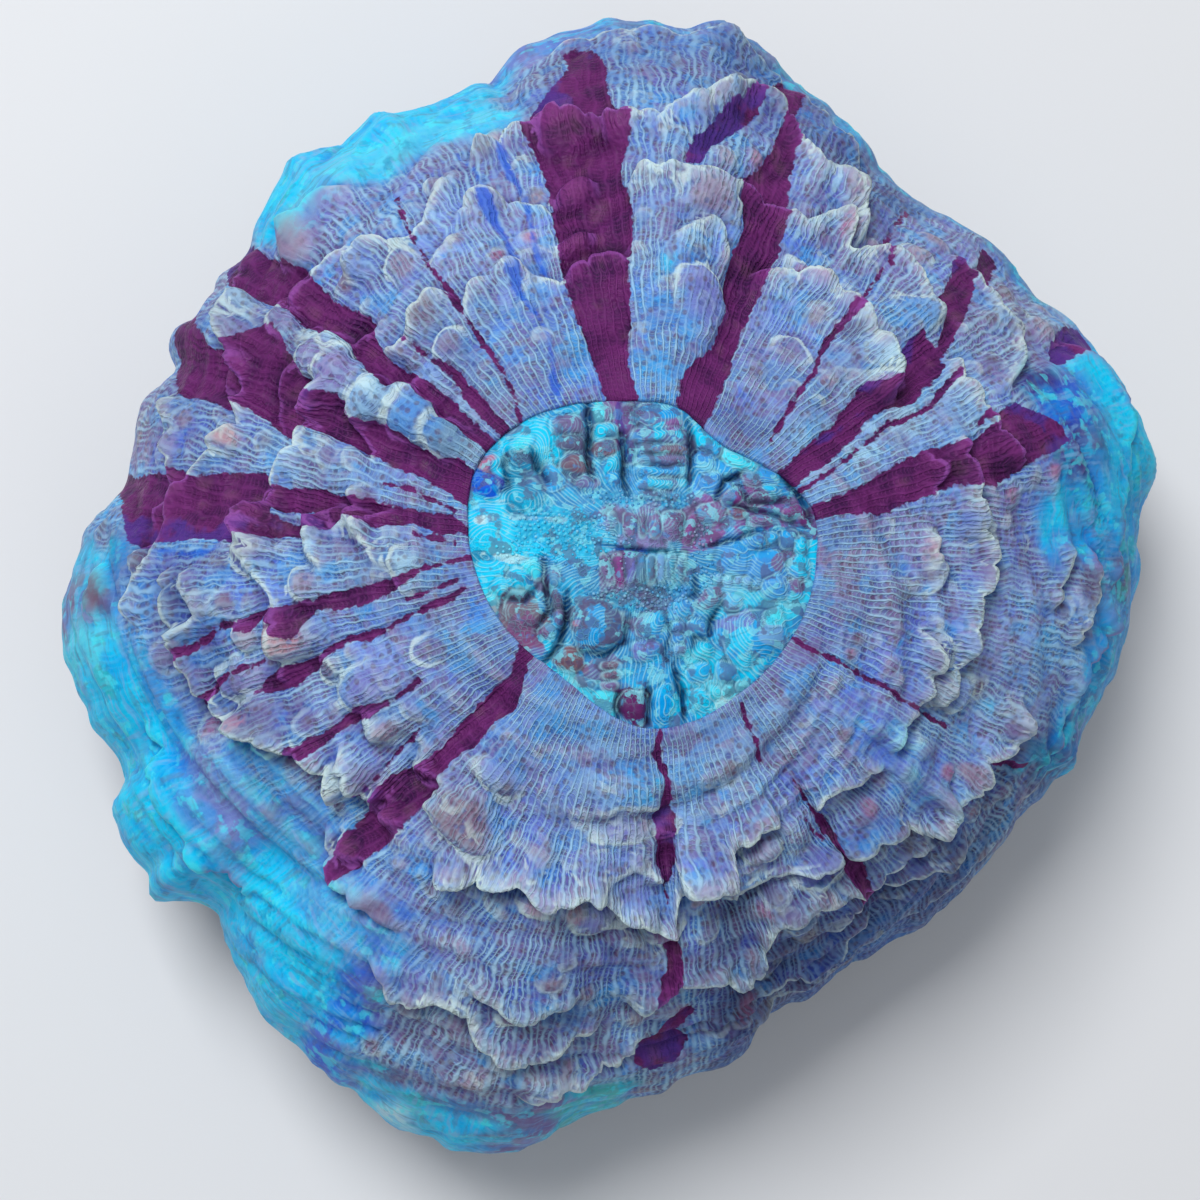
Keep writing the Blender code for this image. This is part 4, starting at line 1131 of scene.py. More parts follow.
# %% Lobes, colours and creases of the disc
DISC_PATCHES = [  # (x, y, half width, half length, turn, colour, how thick in hundredths)
    (0, -3, 14, 13, 0, "sea", 35), (-9.6, -1.4, 3.6, 3.6, 0, "cyan", 100),
    (0.5, -0.9, 3.4, 1.7, 0, "lilac", 90), (4.4, -0.6, 2.2, 1.6, 0, "mauve", 80),
    (-0.9, -4.2, 2, 1.5, 0, "mauve", 60), (-5.5, -1.6, 4, 1.9, -4, "cyan", 75),
    (-10.7, -0.3, 1, 0.45, -10, "ivory", 70), (-11, 0.4, 1.4, 0.5, 0, "lagoon", 50),
    (-9.4, -2.4, 1.5, 0.6, 0, "glow", 50), (-10.9, -3.2, 0.9, 0.6, 0, "teal", 80),
    (-10.7, 2.4, 1.4, 1.2, 0, "royal", 100), (-10.5, 3.8, 1, 0.6, 10, "rose", 90),
    (-9.7, 3.1, 0.5, 0.9, 20, "violet", 70), (-7.2, 4.8, 2.6, 2, 25, "cyan", 100),
    (-5.6, 3.9, 1.1, 1.6, 20, "cyan", 90), (-8.6, 4.2, 0.9, 0.7, 0, "haze", 70),
    (-8.3, 3.2, 0.9, 1.3, 0, "teal", 80), (-9, -5.5, 2.6, 1.7, -35, "cyan", 90),
    (-10.4, -6.7, 0.9, 1.3, -20, "glow", 90), (-7.8, -7.6, 2.2, 1.9, -40, "brown", 90),
    (-7.5, -8.7, 1.5, 1.2, -30, "claret", 50), (-5.4, 6.9, 1, 0.9, 0, "sky", 80),
    (-4.6, 4.6, 1.1, 2.8, 0, "dusk", 75), (-2.6, 7.2, 0.8, 1.1, 0, "glow", 90),
    (-2.3, 5.7, 0.8, 0.7, 0, "cyan", 90), (-2.2, 4.6, 0.9, 0.7, 0, "mauve", 80),
    (-1.8, 3.6, 0.6, 0.9, 0, "cyan", 90), (-1.6, 2.6, 0.6, 0.6, 0, "sky", 90),
    (-1.5, 6.9, 0.8, 1.5, 0, "claret", 80), (-0.6, 6.7, 0.6, 1.6, 0, "violet", 75),
    (1.6, 4.6, 2.2, 3.6, 0, "mauve", 60), (2.1, 7.4, 1.2, 0.6, 0, "lagoon", 95),
    (1.6, 6.2, 0.6, 0.7, 30, "cyan", 90), (2.9, 5.8, 0.3, 0.5, 10, "cyan", 80),
    (2.6, 6.5, 0.9, 0.5, 30, "magenta", 60), (1.8, 3.3, 1.6, 0.45, 0, "sky", 90),
    (1.9, 2.2, 1.6, 0.5, 0, "cyan", 80), (0.3, 2, 0.6, 0.9, 0, "sea", 80), (0, 3.6, 0.7, 1.6, 0, "sky", 60),
    (5.2, 5.5, 1.1, 0.8, -35, "cyan", 90), (5.6, 3.2, 1.7, 1.5, 30, "sky", 85),
    (7.3, 4, 1.4, 0.6, -25, "glow", 90), (4.6, 2, 0.9, 0.8, 30, "sea", 90),
    (9.2, 2.7, 1.3, 0.8, -25, "sea", 60), (8.1, 2.6, 0.7, 0.8, 0, "mauve", 80),
    (9.6, 2.2, 0.6, 0.4, 0, "cyan", 60), (10.5, 2.6, 0.7, 0.7, 0, "violet", 70),
    (8, 0.4, 4.4, 1.3, 0, "claret", 75), (5.4, 0.2, 1.3, 1.2, 0, "magenta", 40),
    (4, -0.6, 1.6, 1.6, 0, "mauve", 80), (6.2, -1.6, 2.4, 0.5, 12, "magenta", 60),
    (12.3, -0.2, 0.7, 1.3, 0, "wine", 80), (8.9, -3.8, 3.6, 2.7, 0, "sea", 90),
    (9.5, -2, 2.4, 1, 0, "sky", 80), (12, -3.2, 0.6, 2, 0, "cyan", 90),
    (12.2, -1.9, 0.8, 0.3, 0, "cyan", 80), (10.3, -3, 0.8, 0.35, 45, "mauve", 90),
    (11, -4.9, 0.7, 0.6, 0, "mauve", 95), (9.8, -6.4, 2.3, 1, 10, "glow", 60),
    (6.8, -5, 2.4, 0.8, 0, "foam", 45), (-10.3, -7.4, 0.45, 1, -15, "ivory", 80),
    (-8.6, -3.2, 1.6, 0.22, -8, "ivory", 60), (-6.8, -0.3, 2, 0.2, -4, "ivory", 50),
    (-9.6, 1, 0.7, 0.2, 10, "ivory", 50), (1.8, -4, 1.7, 1.3, 0, "haze", 70),
    (-1.7, -4.2, 1.1, 1.6, 0, "mauve", 80), (-1.4, -4.4, 0.25, 1.1, -10, "claret", 50),
    (0, -6.1, 2.4, 0.6, 0, "mauve", 70), (-6.2, -5.6, 0.9, 2, 10, "grey", 80),
    (-3, -7.6, 2.3, 1.8, 0, "dusk", 80), (-2.9, -7.6, 0.9, 0.7, 40, "sky", 90),
    (-3.7, -8.7, 1.1, 0.5, 0, "lagoon", 85), (-4.2, -7.8, 0.5, 0.2, 40, "rose", 80),
    (0.8, -8, 1.3, 1.3, 0, "mauve", 70), (1.3, -8.1, 0.8, 0.9, 0, "lagoon", 80),
    (3.4, -6.9, 1.4, 1.2, 0, "sea", 70), (5.2, -6.1, 0.9, 0.7, 0, "mauve", 60),
    (7.9, -8.9, 2.6, 2.6, 0, "sky", 80), (6.6, -6.3, 2.4, 0.8, 10, "glow", 45),
    (6.9, -7.5, 1, 0.6, 20, "lavender", 80), (7, -8.8, 1, 0.7, 30, "cyan", 90),
    (8.8, -10.2, 1, 0.9, 30, "lagoon", 90), (9.3, -8.3, 0.8, 1, 0, "pale", 80),
    (4.6, -9.6, 0.8, 0.7, 0, "cyan", 80), (5.4, -11.9, 2.6, 2.1, 15, "cyan", 90),
    (5.8, -12.4, 1.9, 1.2, 15, "foam", 80), (6.6, -12.9, 1.2, 0.4, 20, "ivory", 60),
    (7.6, -11.2, 1.3, 1, 20, "cyan", 80), (3.9, -9.9, 1, 0.5, 0, "glow", 60),
    (4.4, -13.2, 0.9, 0.8, 0, "cyan", 100), (1.7, -13.6, 0.95, 1.6, 0, "lagoon", 100),
    (2.8, -13, 0.4, 1.1, 0, "cyan", 90), (-0.2, -13.6, 1.1, 1.4, 0, "wine", 95),
    (1.2, -11.2, 2.4, 0.9, 0, "sky", 60), (-4.9, -10.3, 1.3, 0.9, -20, "brown", 90),
    (-5.9, -9.6, 0.8, 0.5, -30, "cyan", 90), (-6.6, -8.9, 0.5, 0.3, -30, "cyan", 90),
    (-2.4, -11, 1, 1.4, 0, "mauve", 70), (-4.6, -12, 2.6, 0.8, -32, "glow", 60),
    (-2, -13.4, 1, 0.7, -20, "glow", 70), (-6.3, -10.6, 0.6, 0.5, -40, "cyan", 80),
]
DISC_LOBES = [  # (x, y, half width, half length, turn, rise in hundredths, colour of its crown if any)
    (-0.6, -0.9, 0.55, 1, 0, 55, "mauve"), (-1.7, -0.9, 0.4, 0.9, 8, 40, "haze"),
    (0.3, -0.9, 0.3, 0.9, 0, 40, "dusk"), (1.2, -0.9, 0.45, 0.95, 0, 50, "mauve"),
    (2.5, -1, 0.8, 1.4, 0, 75, "mauve"), (3.7, -1.1, 0.45, 1.2, -8, 50, "claret"),
    (-2.2, -3.9, 0.4, 1.2, 12, 40, "mauve"), (-1.4, -4, 0.4, 1.3, 6, 45, "claret"),
    (-0.6, -3.9, 0.36, 1.1, 0, 40, "lavender"), (0.2, -3.9, 0.36, 1.1, 0, 40, "haze"),
    (0.9, -3.9, 0.34, 1.15, 0, 40, "haze"), (1.6, -3.9, 0.34, 1.15, 0, 40, "pale"),
    (2.3, -3.9, 0.34, 1.1, -6, 40, "haze"), (3, -3.9, 0.36, 1, -12, 40, "haze"),
    (-7.4, 4.9, 2.2, 1.7, 30, 90), (-8, 5.2, 0.8, 0.6, 30, 40, "glow"), (-8, 1.2, 1.6, 1.5, 0, 70, "teal"),
    (-5.9, 2.6, 0.8, 1, 30, 40, "sky"), (-5, 6.4, 1.3, 0.8, 10, 70, "mauve"),
    (-4.8, 5.1, 1.1, 0.65, 0, 70, "dusk"), (-4.5, 3.7, 1, 0.8, -10, 70, "brown"),
    (-3.6, 2.2, 0.9, 0.6, -10, 50, "mauve"), (-2.6, 7.2, 0.8, 0.9, 0, 60),
    (-2.3, 6, 0.9, 0.6, 0, 70, "cyan"), (-2.4, 4.7, 0.9, 0.7, 0, 70, "brown"), (-1.9, 3.6, 0.7, 0.6, 0, 50),
    (-1.6, 2.5, 0.6, 0.5, 0, 40), (-0.6, 6.8, 0.6, 1.3, 0, 50), (-0.5, 4.4, 0.5, 0.9, 0, 40, "violet"),
    (1.6, 7, 2, 1, 0, 80), (1.7, 5.7, 2, 0.75, 0, 90), (1.7, 4.7, 1.8, 0.45, 0, 75, "brown"),
    (1.7, 3.9, 1.8, 0.42, 0, 70, "mauve"), (1.7, 3.1, 1.8, 0.42, 0, 65), (1.7, 2.3, 1.6, 0.42, 0, 60),
    (1.2, 1.4, 1.4, 0.35, 0, 40, "haze"), (5.1, 5.1, 1.2, 0.9, -35, 80),
    (4.7, 3.7, 0.9, 0.8, -20, 60, "sea"), (5.5, 2.2, 1, 0.8, -30, 60, "sea"), (7.3, 4, 1.3, 0.7, -25, 70),
    (8.1, 2.7, 0.7, 0.7, 0, 50, "mauve"), (9.3, 3, 0.8, 0.6, -20, 50, "sea"), (9.4, 1.9, 0.7, 0.5, 0, 40),
    (5.4, 0.2, 1.2, 0.9, 10, 70, "mauve"), (6.7, 1.3, 0.8, 0.6, 30, 50, "claret"),
    (8.6, 1.2, 0.9, 0.5, 20, 50, "dusk"), (8.9, -0.3, 1.1, 0.45, 5, 50, "mauve"),
    (11.2, 0.4, 1, 0.5, 15, 50, "claret"), (7.1, 0.2, 0.7, 0.5, 0, 40, "brown"),
    (8.2, -1.8, 0.9, 0.7, 0, 80, "sea"), (9.5, -1.5, 0.55, 0.5, 0, 60, "sky"),
    (10.6, -1.5, 0.8, 0.8, 0, 70, "sky"), (11.6, -2, 0.5, 0.8, 0, 60, "cyan"), (7, -3, 1.6, 1.2, 10, 50),
    (9.2, -3.6, 1.6, 1.3, 0, 60), (11.5, -3.6, 0.7, 1, 0, 60), (9.8, -5, 0.9, 0.9, 0, 70, "sea"),
    (11.1, -5.2, 0.7, 0.9, 0, 50), (5.6, -4.5, 0.35, 0.35, 0, 30, "pale"),
    (6.3, -4.6, 0.35, 0.35, 0, 30, "pale"), (7, -4.6, 0.35, 0.35, 0, 30, "pale"),
    (7.7, -4.7, 0.35, 0.35, 0, 30, "pale"), (8.4, -4.8, 0.35, 0.35, 0, 30, "pale"),
    (5.1, -6, 0.9, 0.8, 0, 50, "mauve"), (6.6, -6.1, 0.7, 0.6, 0, 40, "pale"),
    (8.1, -8.7, 2.4, 2.2, 0, 120), (9.6, -7.2, 0.9, 0.7, 20, 50, "glow"), (8.9, -10.4, 1, 0.8, 30, 60),
    (6.9, -7.6, 0.9, 0.7, 20, 50), (4.4, -8.2, 0.8, 0.7, 0, 60, "sea"), (4.6, -9.6, 0.7, 0.6, 0, 50),
    (6.2, -11, 0.8, 0.7, 0, 50, "sky"), (5.4, -12.4, 0.5, 0.5, 0, 50, "glow"),
    (6.4, -12.3, 0.5, 0.5, 0, 50, "glow"), (7.4, -12, 0.5, 0.45, 0, 40, "glow"),
    (4.3, -13.1, 0.8, 0.8, 0, 60), (4.2, -11.2, 0.7, 0.7, 0, 50, "sky"), (1.7, -13.5, 0.9, 1.4, 0, 80),
    (-0.2, -13.5, 1, 1.2, 0, 80, "wine"), (2.8, -8, 0.5, 0.4, 0, 40, "sea"),
    (2.8, -8.8, 0.5, 0.4, 0, 40, "sea"), (3, -9.6, 0.5, 0.4, 0, 40, "pale"), (-2.9, -7.8, 2, 1.9, 0, 110),
    (0.9, -8, 1.1, 1.1, 0, 80), (0.6, -9.6, 1, 0.7, 0, 50, "lavender"), (3.3, -6.8, 0.9, 0.8, 0, 50, "sea"),
    (-4.9, -10.2, 1.2, 0.85, -15, 70, "brown"), (-1.9, -10.7, 0.7, 0.35, 0, 40, "brown"),
    (-1.9, -11.4, 0.7, 0.35, 0, 40, "brown"), (-1.9, -12.1, 0.7, 0.35, 0, 40, "mauve"),
    (-3.6, -11.9, 0.8, 0.4, -25, 35, "haze"), (-6.4, -8.4, 0.7, 0.7, 0, 50, "mauve"),
    (-6, -4.6, 0.6, 0.8, 10, 50, "mauve"), (-5.7, -6, 0.5, 0.8, 10, 50, "dusk"),
    (-5.5, -7.4, 0.5, 0.7, 0, 40, "mauve"), (-7.2, -3.9, 0.8, 0.7, -30, 40, "glow"),
    (-8.2, -4.7, 0.8, 0.8, -30, 50), (-9.4, -5.4, 0.7, 0.9, -30, 50), (-10.3, -6.6, 0.6, 0.9, -20, 50),
    (-7.7, -6.9, 1.6, 1.2, -35, 60), (-9.9, -1.2, 2.2, 2, 0, 60), (-10.7, 2.2, 1.2, 1, 0, 70),
    (-10.4, 3.9, 0.9, 0.6, 20, 50),
]
CREASES = [  # (how deep, points from one end to the other)
    (1.1, [(-7.4, 4.6), (-7, 3.4), (-6.3, 2.4)]), (1.5, [(-3.5, 8.2), (-3.3, 6), (-3.5, 4), (-3.1, 2.4)]),
    (1.6, [(-1.1, 5.8), (-0.9, 4.2), (-1, 2.8), (-0.7, 1.5)]), (1.1, [(3.7, 6.8), (3.9, 4.6), (3.7, 1.9)]),
    (1.4, [(5.6, 1.2), (6.2, 2.6), (7.4, 3)]), (1.3, [(10.4, 2.9), (11.6, 1.7), (12.4, -0.2)]),
    (0.8, [(6, 0.9), (7.4, 0.6), (9.5, 0.2), (12, -0.7)]),
    (0.7, [(7.3, 2), (8, 0.9), (9.6, 1), (10.8, 1.3)]), (0.8, [(4.6, -2.3), (6.8, -1.7), (9, -1)]),
    (1.2, [(5.8, -6.4), (5.2, -7.4), (5, -8.8)]), (1.4, [(2.5, -10.6), (3.2, -12.6), (3.4, -14.6)]),
    (1.2, [(0.7, -11.9), (0.85, -13.4), (0.7, -15)]), (1, [(-1.3, -12.3), (-1.4, -13.6), (-1.2, -14.8)]),
    (1.4, [(-4.9, -5.6), (-5, -7.6), (-5.4, -9.2), (-6.9, -10.9)]),
    (0.9, [(-6.6, -3.2), (-6.4, -5.2), (-6.1, -6.8), (-7, -8)]),
    (0.8, [(-3.9, -9.8), (-2.2, -9.9), (-0.9, -9), (-0.6, -7.4)]),
    (0.7, [(-9.2, 4.6), (-9.3, 3.2), (-9, 2), (-9.8, 1.6)]),
    (0.7, [(-9.5, -5.9), (-7.9, -6.2), (-6.8, -4.9)]), (0.7, [(3.9, -9.9), (4, -8.6), (5.3, -8.9)]),
    (0.6, [(4, -4.2), (4.2, -5.6), (3.4, -6)]), (0.6, [(2, -7.2), (2.3, -8.6), (1.9, -9.8), (2.3, -10.8)]),
]
MOUTH = [(-2.8, -2.15), (-1.4, -2.5), (0.4, -2.72), (2.0, -2.72), (3.3, -2.95)]

# %% Ovals and bent lines on the disc


def on_disc(*layers):
    """Random hills on the disc, from layers of (height, width in mm, seed)."""
    return sum(height * hills(disc_x / width, disc_y / width, seed) for height, width, seed in layers)


SQUARENESS = 2.5   # 2 would give plain ovals; more gives fuller corners
sway_x, sway_y = on_disc((0.36, 1.7, 61), (0.18, 0.7, 62)), on_disc((0.36, 1.7, 63), (0.18, 0.7, 64))


def oval(x, y, half_width, half_length, turn):
    """How far out of an oval each point of the disc is: 0 in its middle, 1 on its edge."""
    c, s = math.cos(math.radians(turn)), math.sin(math.radians(turn))
    sway = min(1.0, (min(half_width, half_length) / 1.1) ** 1.5)   # small things stay nearly straight
    over, up = disc_x + sway * sway_x - x, disc_y + sway * sway_y - y
    across, along = np.abs(over * c + up * s) / half_width, np.abs(up * c - over * s) / half_length
    return (across**SQUARENESS + along**SQUARENESS) ** (1 / SQUARENESS)


def away_from(points):
    """Distance of each point of the disc from a bent line, in mm, and how far along the line it is."""
    nearest, along = np.full(disc_x.shape, 99.0), np.zeros(disc_x.shape)
    pairs = list(zip(points, points[1:]))
    for number, ((x0, y0), (x1, y1)) in enumerate(pairs):
        span = (x1 - x0) ** 2 + (y1 - y0) ** 2
        t = np.clip(((disc_x - x0) * (x1 - x0) + (disc_y - y0) * (y1 - y0)) / span, 0, 1)
        distance = np.hypot(disc_x - x0 - t * (x1 - x0), disc_y - y0 - t * (y1 - y0))
        along = np.where(distance < nearest, (number + t) / len(pairs), along)
        nearest = np.minimum(nearest, distance)
    return nearest, along


# %% The disc's relief and its colours
shaky, torn = on_disc((0.13, 0.7, 51), (0.07, 0.3, 52)), on_disc((0.40, 1.1, 58), (0.22, 0.45, 59))
disc_tint = np.zeros(disc_x.shape + (3,)) + paint("reef")
for x, y, half_width, half_length, turn, name, thickness in DISC_PATCHES:
    outside = oval(x, y, half_width, half_length, turn) + torn / min(half_width, half_length) ** 0.7
    lay(disc_tint, name, thickness / 100 * step(1.08, 0.94, outside))

caps, cuts, disc_edge, disc_shade = (np.zeros(disc_x.shape) for _ in range(4))
for x, y, half_width, half_length, turn, rise, *crown in DISC_LOBES:
    outside = oval(x, y, half_width, half_length, turn) + 0.5 * shaky / min(half_width, half_length)
    smaller = min(half_width, half_length)
    line = 0.055 / smaller
    caps = np.maximum(caps, 0.62 * (rise / 100) * np.maximum(0, 1 - outside**2))
    covered = step(1.0, 0.9, outside)
    drawn = 0.15 + 0.85 * step(-0.2, 0.4, hills(disc_x / 0.9 + x, disc_y / 0.9, 60))
    disc_edge = disc_edge * (1 - 0.6 * covered) + 0.9 * drawn * bump(outside, 0.95, line)
    disc_shade = disc_shade * (1 - 0.8 * covered) + 0.35 * bump(outside, 1.0 + 1.6 * line, line)
    for name in crown:
        lay(disc_tint, name, 0.75 * step(0.98, 0.86, outside + 0.5 * torn))
for depth, points_of in CREASES:
    distance, along = away_from(points_of)
    ends = np.sqrt(np.clip(4 * along * (1 - along), 0.15, 1))
    cuts = np.maximum(cuts, 0.8 * depth * ends * bump(distance + 0.5 * shaky, 0, 0.26))
    disc_shade = np.maximum(disc_shade, 0.8 * ends * bump(distance + 0.5 * shaky, 0, 0.15) * min(1, depth))
slit, along = away_from(MOUTH)
slit_ends = np.sqrt(np.clip(4 * along * (1 - along), 0.05, 1))
cuts = np.maximum(cuts, 0.55 * slit_ends * bump(slit, 0, 0.16))

bead_x = disc_x + on_disc((0.40, 1.2, 53), (0.10, 0.5, 65))
bead_y = disc_y + on_disc((0.40, 1.2, 54), (0.10, 0.5, 66))
packed = sum(np.cos(2 * np.pi / 0.38 * (bead_x * math.cos(tilt) + bead_y * math.sin(tilt)))
             for tilt in np.radians((10, 70, 130)))
beads = np.clip((packed + 1.5) / 4.5, 0, 1) ** 1.3
beaded = step(1.3, 0.7, oval(-4.6, -1.3, 4.2, 1.5, -8)) * step(-2.4, -3.4, disc_x)
for stream in ((0.3, -6.0, 3.8, 1.0, 0), (0.5, 1.0, 3.8, 0.6, 0)):
    beaded = np.maximum(beaded, step(1.3, 0.8, oval(*stream)) * 0.8)
beaded *= 1 - step(0.1, 0.4, caps)

# fine lines run in to the mouth and bend round every lobe, as the lines of a fingerprint do
LINES_ROUND, LINES_UP = 80, 4.2
flow = LINES_ROUND * np.arctan2(disc_y + 2.6, disc_x - 0.4) / (2 * np.pi)
flow += LINES_UP * evened(caps, 2, 2) + on_disc((0.9, 1.5, 55))
flow_dense = np.zeros(flow.shape)     # how many lines there are to a millimetre
for axis in (0, 1):
    run = np.hypot(np.gradient(disc_x, axis=axis), np.gradient(disc_y, axis=axis))
    flow_dense = np.hypot(flow_dense, np.gradient(flow, axis=axis) / run)

share_of_disc = disc_reach / disc_radius
level = dome_height(np.minimum(disc_reach / closed_curve(MARGIN_OUTLINE, bearing), 1.0)) - DISC_SINK
level += 0.8 * bump(disc_x - 0.6, 0, 3.2) * bump(disc_y + 2.3, 0, 2.9)
in_from_rim = 1 - step(0.88, 1.0, share_of_disc)
level += on_disc((0.22, 2.3, 56), (0.08, 0.8, 57)) * in_from_rim
level += caps * (1 - step(0.90, 1.02, share_of_disc)) - cuts * (1 - 0.5 * step(0.92, 1.02, share_of_disc))
level += 0.16 * beads * beaded
level -= 0.16 * step(0.96, 1.06, share_of_disc)

lay(disc_tint, "royal", 0.95 * slit_ends * bump(slit, 0, 0.13) * step(1.2, 0.2, disc_x))
lay(disc_tint, "glow", 0.90 * slit_ends * bump(slit, 0.0, 0.14) * step(0.2, 1.2, disc_x))
lay(disc_tint, "foam", 0.55 * beads * beaded)
lay(disc_tint, "teal", 0.40 * (1 - beads) * beaded)
# The hollows of the disc's fine relief are marked for painted shade.
fine_level = level - evened(level, 14, 14)
disc_hollow_shade = np.clip(-fine_level / 0.16, 0, 1)
print("disc relief:", round(float(caps.max()), 2), "mm up,", round(float(cuts.max()), 2), "mm down")

# %% The lens
N = DISC_STEPS
disc_points = around(disc_reach, bearing, level).reshape(-1, 3)
row, column = np.meshgrid(np.arange(N - 1), np.arange(N - 1), indexing="ij")
first = (row * N + column).ravel()
disc_faces = np.stack((first, first + 1, first + N + 1, first + N), axis=1).tolist()
rim = np.concatenate((np.arange(N - 1), np.arange(1, N) * N - 1, N * N - 1 - np.arange(N - 1),
                      (N - 1 - np.arange(N - 1)) * N))
LENS_DEPTH = 3.2
floor_ring = disc_points[rim] - (0, 0, LENS_DEPTH)
middle = np.array([[AXIS_AT[0], AXIS_AT[1], floor_ring[:, 2].min() - 1.0]])
count, rim_count = N * N, len(rim)
for i in range(rim_count):
    j = (i + 1) % rim_count
    disc_faces.append([int(rim[i]), count + i, count + j, int(rim[j])])
    disc_faces.append([count + i, count + rim_count, count + j])
disc = new_piece("oral_disc", np.concatenate((disc_points, floor_ring, middle)), disc_faces)


def whole_disc(field):
    """A field of the disc, with plain values for the hidden underside."""
    flat = field.reshape((N * N,) + field.shape[2:])
    return np.concatenate((flat, flat[rim], flat[:1]))


fringe = step(1.25, 0.95, oval(-4.9, -1.9, 4.4, 1.9, -4)) + step(1.2, 0.9, oval(0.4, -6.1, 3.9, 1.0, 0))
fringe += step(1.2, 0.9, oval(0.4, 1.0, 3.8, 0.6, 0)) + 0.9 * step(1.2, 0.9, oval(4.6, -3.6, 0.8, 2.6, 0))
for name, field in {
    "tint": disc_tint, "edge": np.clip(disc_edge, 0, 1), "shade": np.clip(disc_shade, 0, 1),
    "hollow_shade": disc_hollow_shade, "flow": flow, "dense": np.clip(flow_dense, 0.3, 20), "beaded": beaded,
    "fringe": np.clip(fringe, 0, 1) * (caps < 0.25) * (cuts < 0.2),
}.items():
    mark(disc, name, whole_disc(field))
print("disc has", len(disc.data.polygons), "faces")

# %% Disc material
WEB = 0.36       # mm across a mesh of the disc's pale web

disc_skin, t, shader = new_material("disc skin")
bare, dense = t.read("tint", "Color"), t.read("dense")
web = t.step(t.cells(WEB, feature="DISTANCE_TO_EDGE"), 0.16, 0.02) * t.step(t.noise(1.6), 0.44, 0.64)


def flow_lines(times):
    """The fine lines, or twice as many of them, all of one width in mm."""
    away_mm = t.saw(t.read("flow") * times) / (dense * times)
    return t.step(away_mm, 0.085, 0.02) * t.step(dense, 8.0 / times, 5.0 / times)


flow = t.most(flow_lines(1.0), flow_lines(2.0) * 0.8) * t.step(t.noise(1.3), 0.36, 0.56)
flow = flow * (1.0 - t.read("beaded"))
green = t.add("ShaderNodeSeparateColor", 1, {0: bare})
flow = flow * t.step(green, 0.0, 0.25)     # the lines are faint on the dark patches
flesh = t.blotched(bare, (1.7, 0.56, 0.60, 0.35, "cyan"), (1.1, 0.58, 0.64, 0.35, "lagoon"),
                   (1.3, 0.46, 0.41, 0.60, "dusk"), (0.9, 0.57, 0.62, 0.60, "foam"))
# Painted shade: the hollows of the relief and the rings round the lobes and creases are darkened.
flesh = t.laid(flesh, (t.read("hollow_shade") * 0.80, (0.20, 0.28, 0.44)), (web * 0.15, "foam"),
               (flow * 0.45, "mist"), (t.read("shade") * 0.85, (0.10, 0.08, 0.14)),
               (t.read("edge") * 0.55, "mist"))
bumpy(t, shader, t.most(web, flow) * 0.6 + t.noise(0.25) * 0.5, 0.07)
wet(t, shader, flesh, 1.0, 1.8, 0.08)
disc.data.materials.append(disc_skin)


# %% [markdown]
# ## Beads round the mouth
#
# Hundreds of tiny papillae stream over the disc to the mouth, like seed beads. Modelling them one
# by one would be hopeless, and they all follow one rule: sit on the disc where the fringe mark is
# strong, stand along its normal and vary a little. Geometry Nodes do this: points are dealt out
# over the disc's faces with a least distance, a bead is put on each, and all are made real. Each
# bead keeps the colour of the flesh that it stands on.

# %% Bead tree


def new_tree(name, sockets):
    """A Geometry Nodes tree with named inputs: the helper, and its inputs by name."""
    tree = bpy.data.node_groups.new(name, "GeometryNodeTree")
    for label, kind in {"Geometry": "Geometry", **sockets}.items():
        tree.interface.new_socket(label, in_out="INPUT", socket_type="NodeSocket" + kind)
    tree.interface.new_socket("Geometry", in_out="OUTPUT", socket_type="NodeSocketGeometry")
    t = Tree(tree)
    return t, {socket.name: Wire(t, socket) for socket in tree.nodes.new("NodeGroupInput").outputs}


def finish_tree(t, given, geometry):
    """Makes all instances real, puts the material on and sends the result out."""
    real = t.add("GeometryNodeRealizeInstances", 0, {"Geometry": geometry})
    dressed = t.add("GeometryNodeSetMaterial", 0, {"Geometry": real, "Material": given["Material"]})
    t.give(t.tree.nodes.new("NodeGroupOutput").inputs[0], dressed)


def grown(name, base, tree, values):
    """The plain mesh that a tree makes of a base object, as a new object; the modifier is removed."""
    modifier = base.modifiers.new("grow", "NODES")
    modifier.node_group = tree
    sockets = {item.name: item.identifier for item in tree.interface.items_tree if item.in_out == "INPUT"}
    for label, value in values.items():
        modifier[sockets[label]] = value
    seen = base.evaluated_get(bpy.context.evaluated_depsgraph_get())
    mesh = bpy.data.meshes.new_from_object(seen)
    base.modifiers.remove(modifier)
    mesh.name = name
    return placed(name, mesh)


bead_skin, t, shader = new_material("bead skin")
pale = t.step(t.noise(0.6), 0.35, 0.70) * 0.45
wet(t, shader, t.mix(pale, t.read("tint", "Color"), paint("cream")), 0.5, 1.8, 0.15, soft=0.0)

t, given = new_tree("papillae", {
    "Spacing": "Float", "Density": "Float", "Bead Radius": "Float", "Seed": "Int", "Material": "Material",
})
mask = t.add("GeometryNodeInputNamedAttribute", 0, {"Name": "fringe"}, data_type="FLOAT")
dealt = t.add("GeometryNodeDistributePointsOnFaces", "Points", {
    "Mesh": given["Geometry"], "Distance Min": given["Spacing"], "Density Max": given["Density"],
    "Density Factor": mask, "Seed": given["Seed"],
}, distribute_method="POISSON")
bead = t.add("GeometryNodeMeshUVSphere", "Mesh", {"Radius": given["Bead Radius"], "Segments": 8, "Rings": 5})
bead = t.add("GeometryNodeSetShadeSmooth", 0, {"Geometry": bead})
size = t.add("FunctionNodeRandomValue", 1, {2: 0.7, 3: 1.25, "Seed": given["Seed"]}, data_type="FLOAT")
finish_tree(t, given, t.add("GeometryNodeInstanceOnPoints", 0, {
    "Points": dealt, "Instance": bead, "Rotation": dealt.beside("Rotation"), "Scale": size,
}))
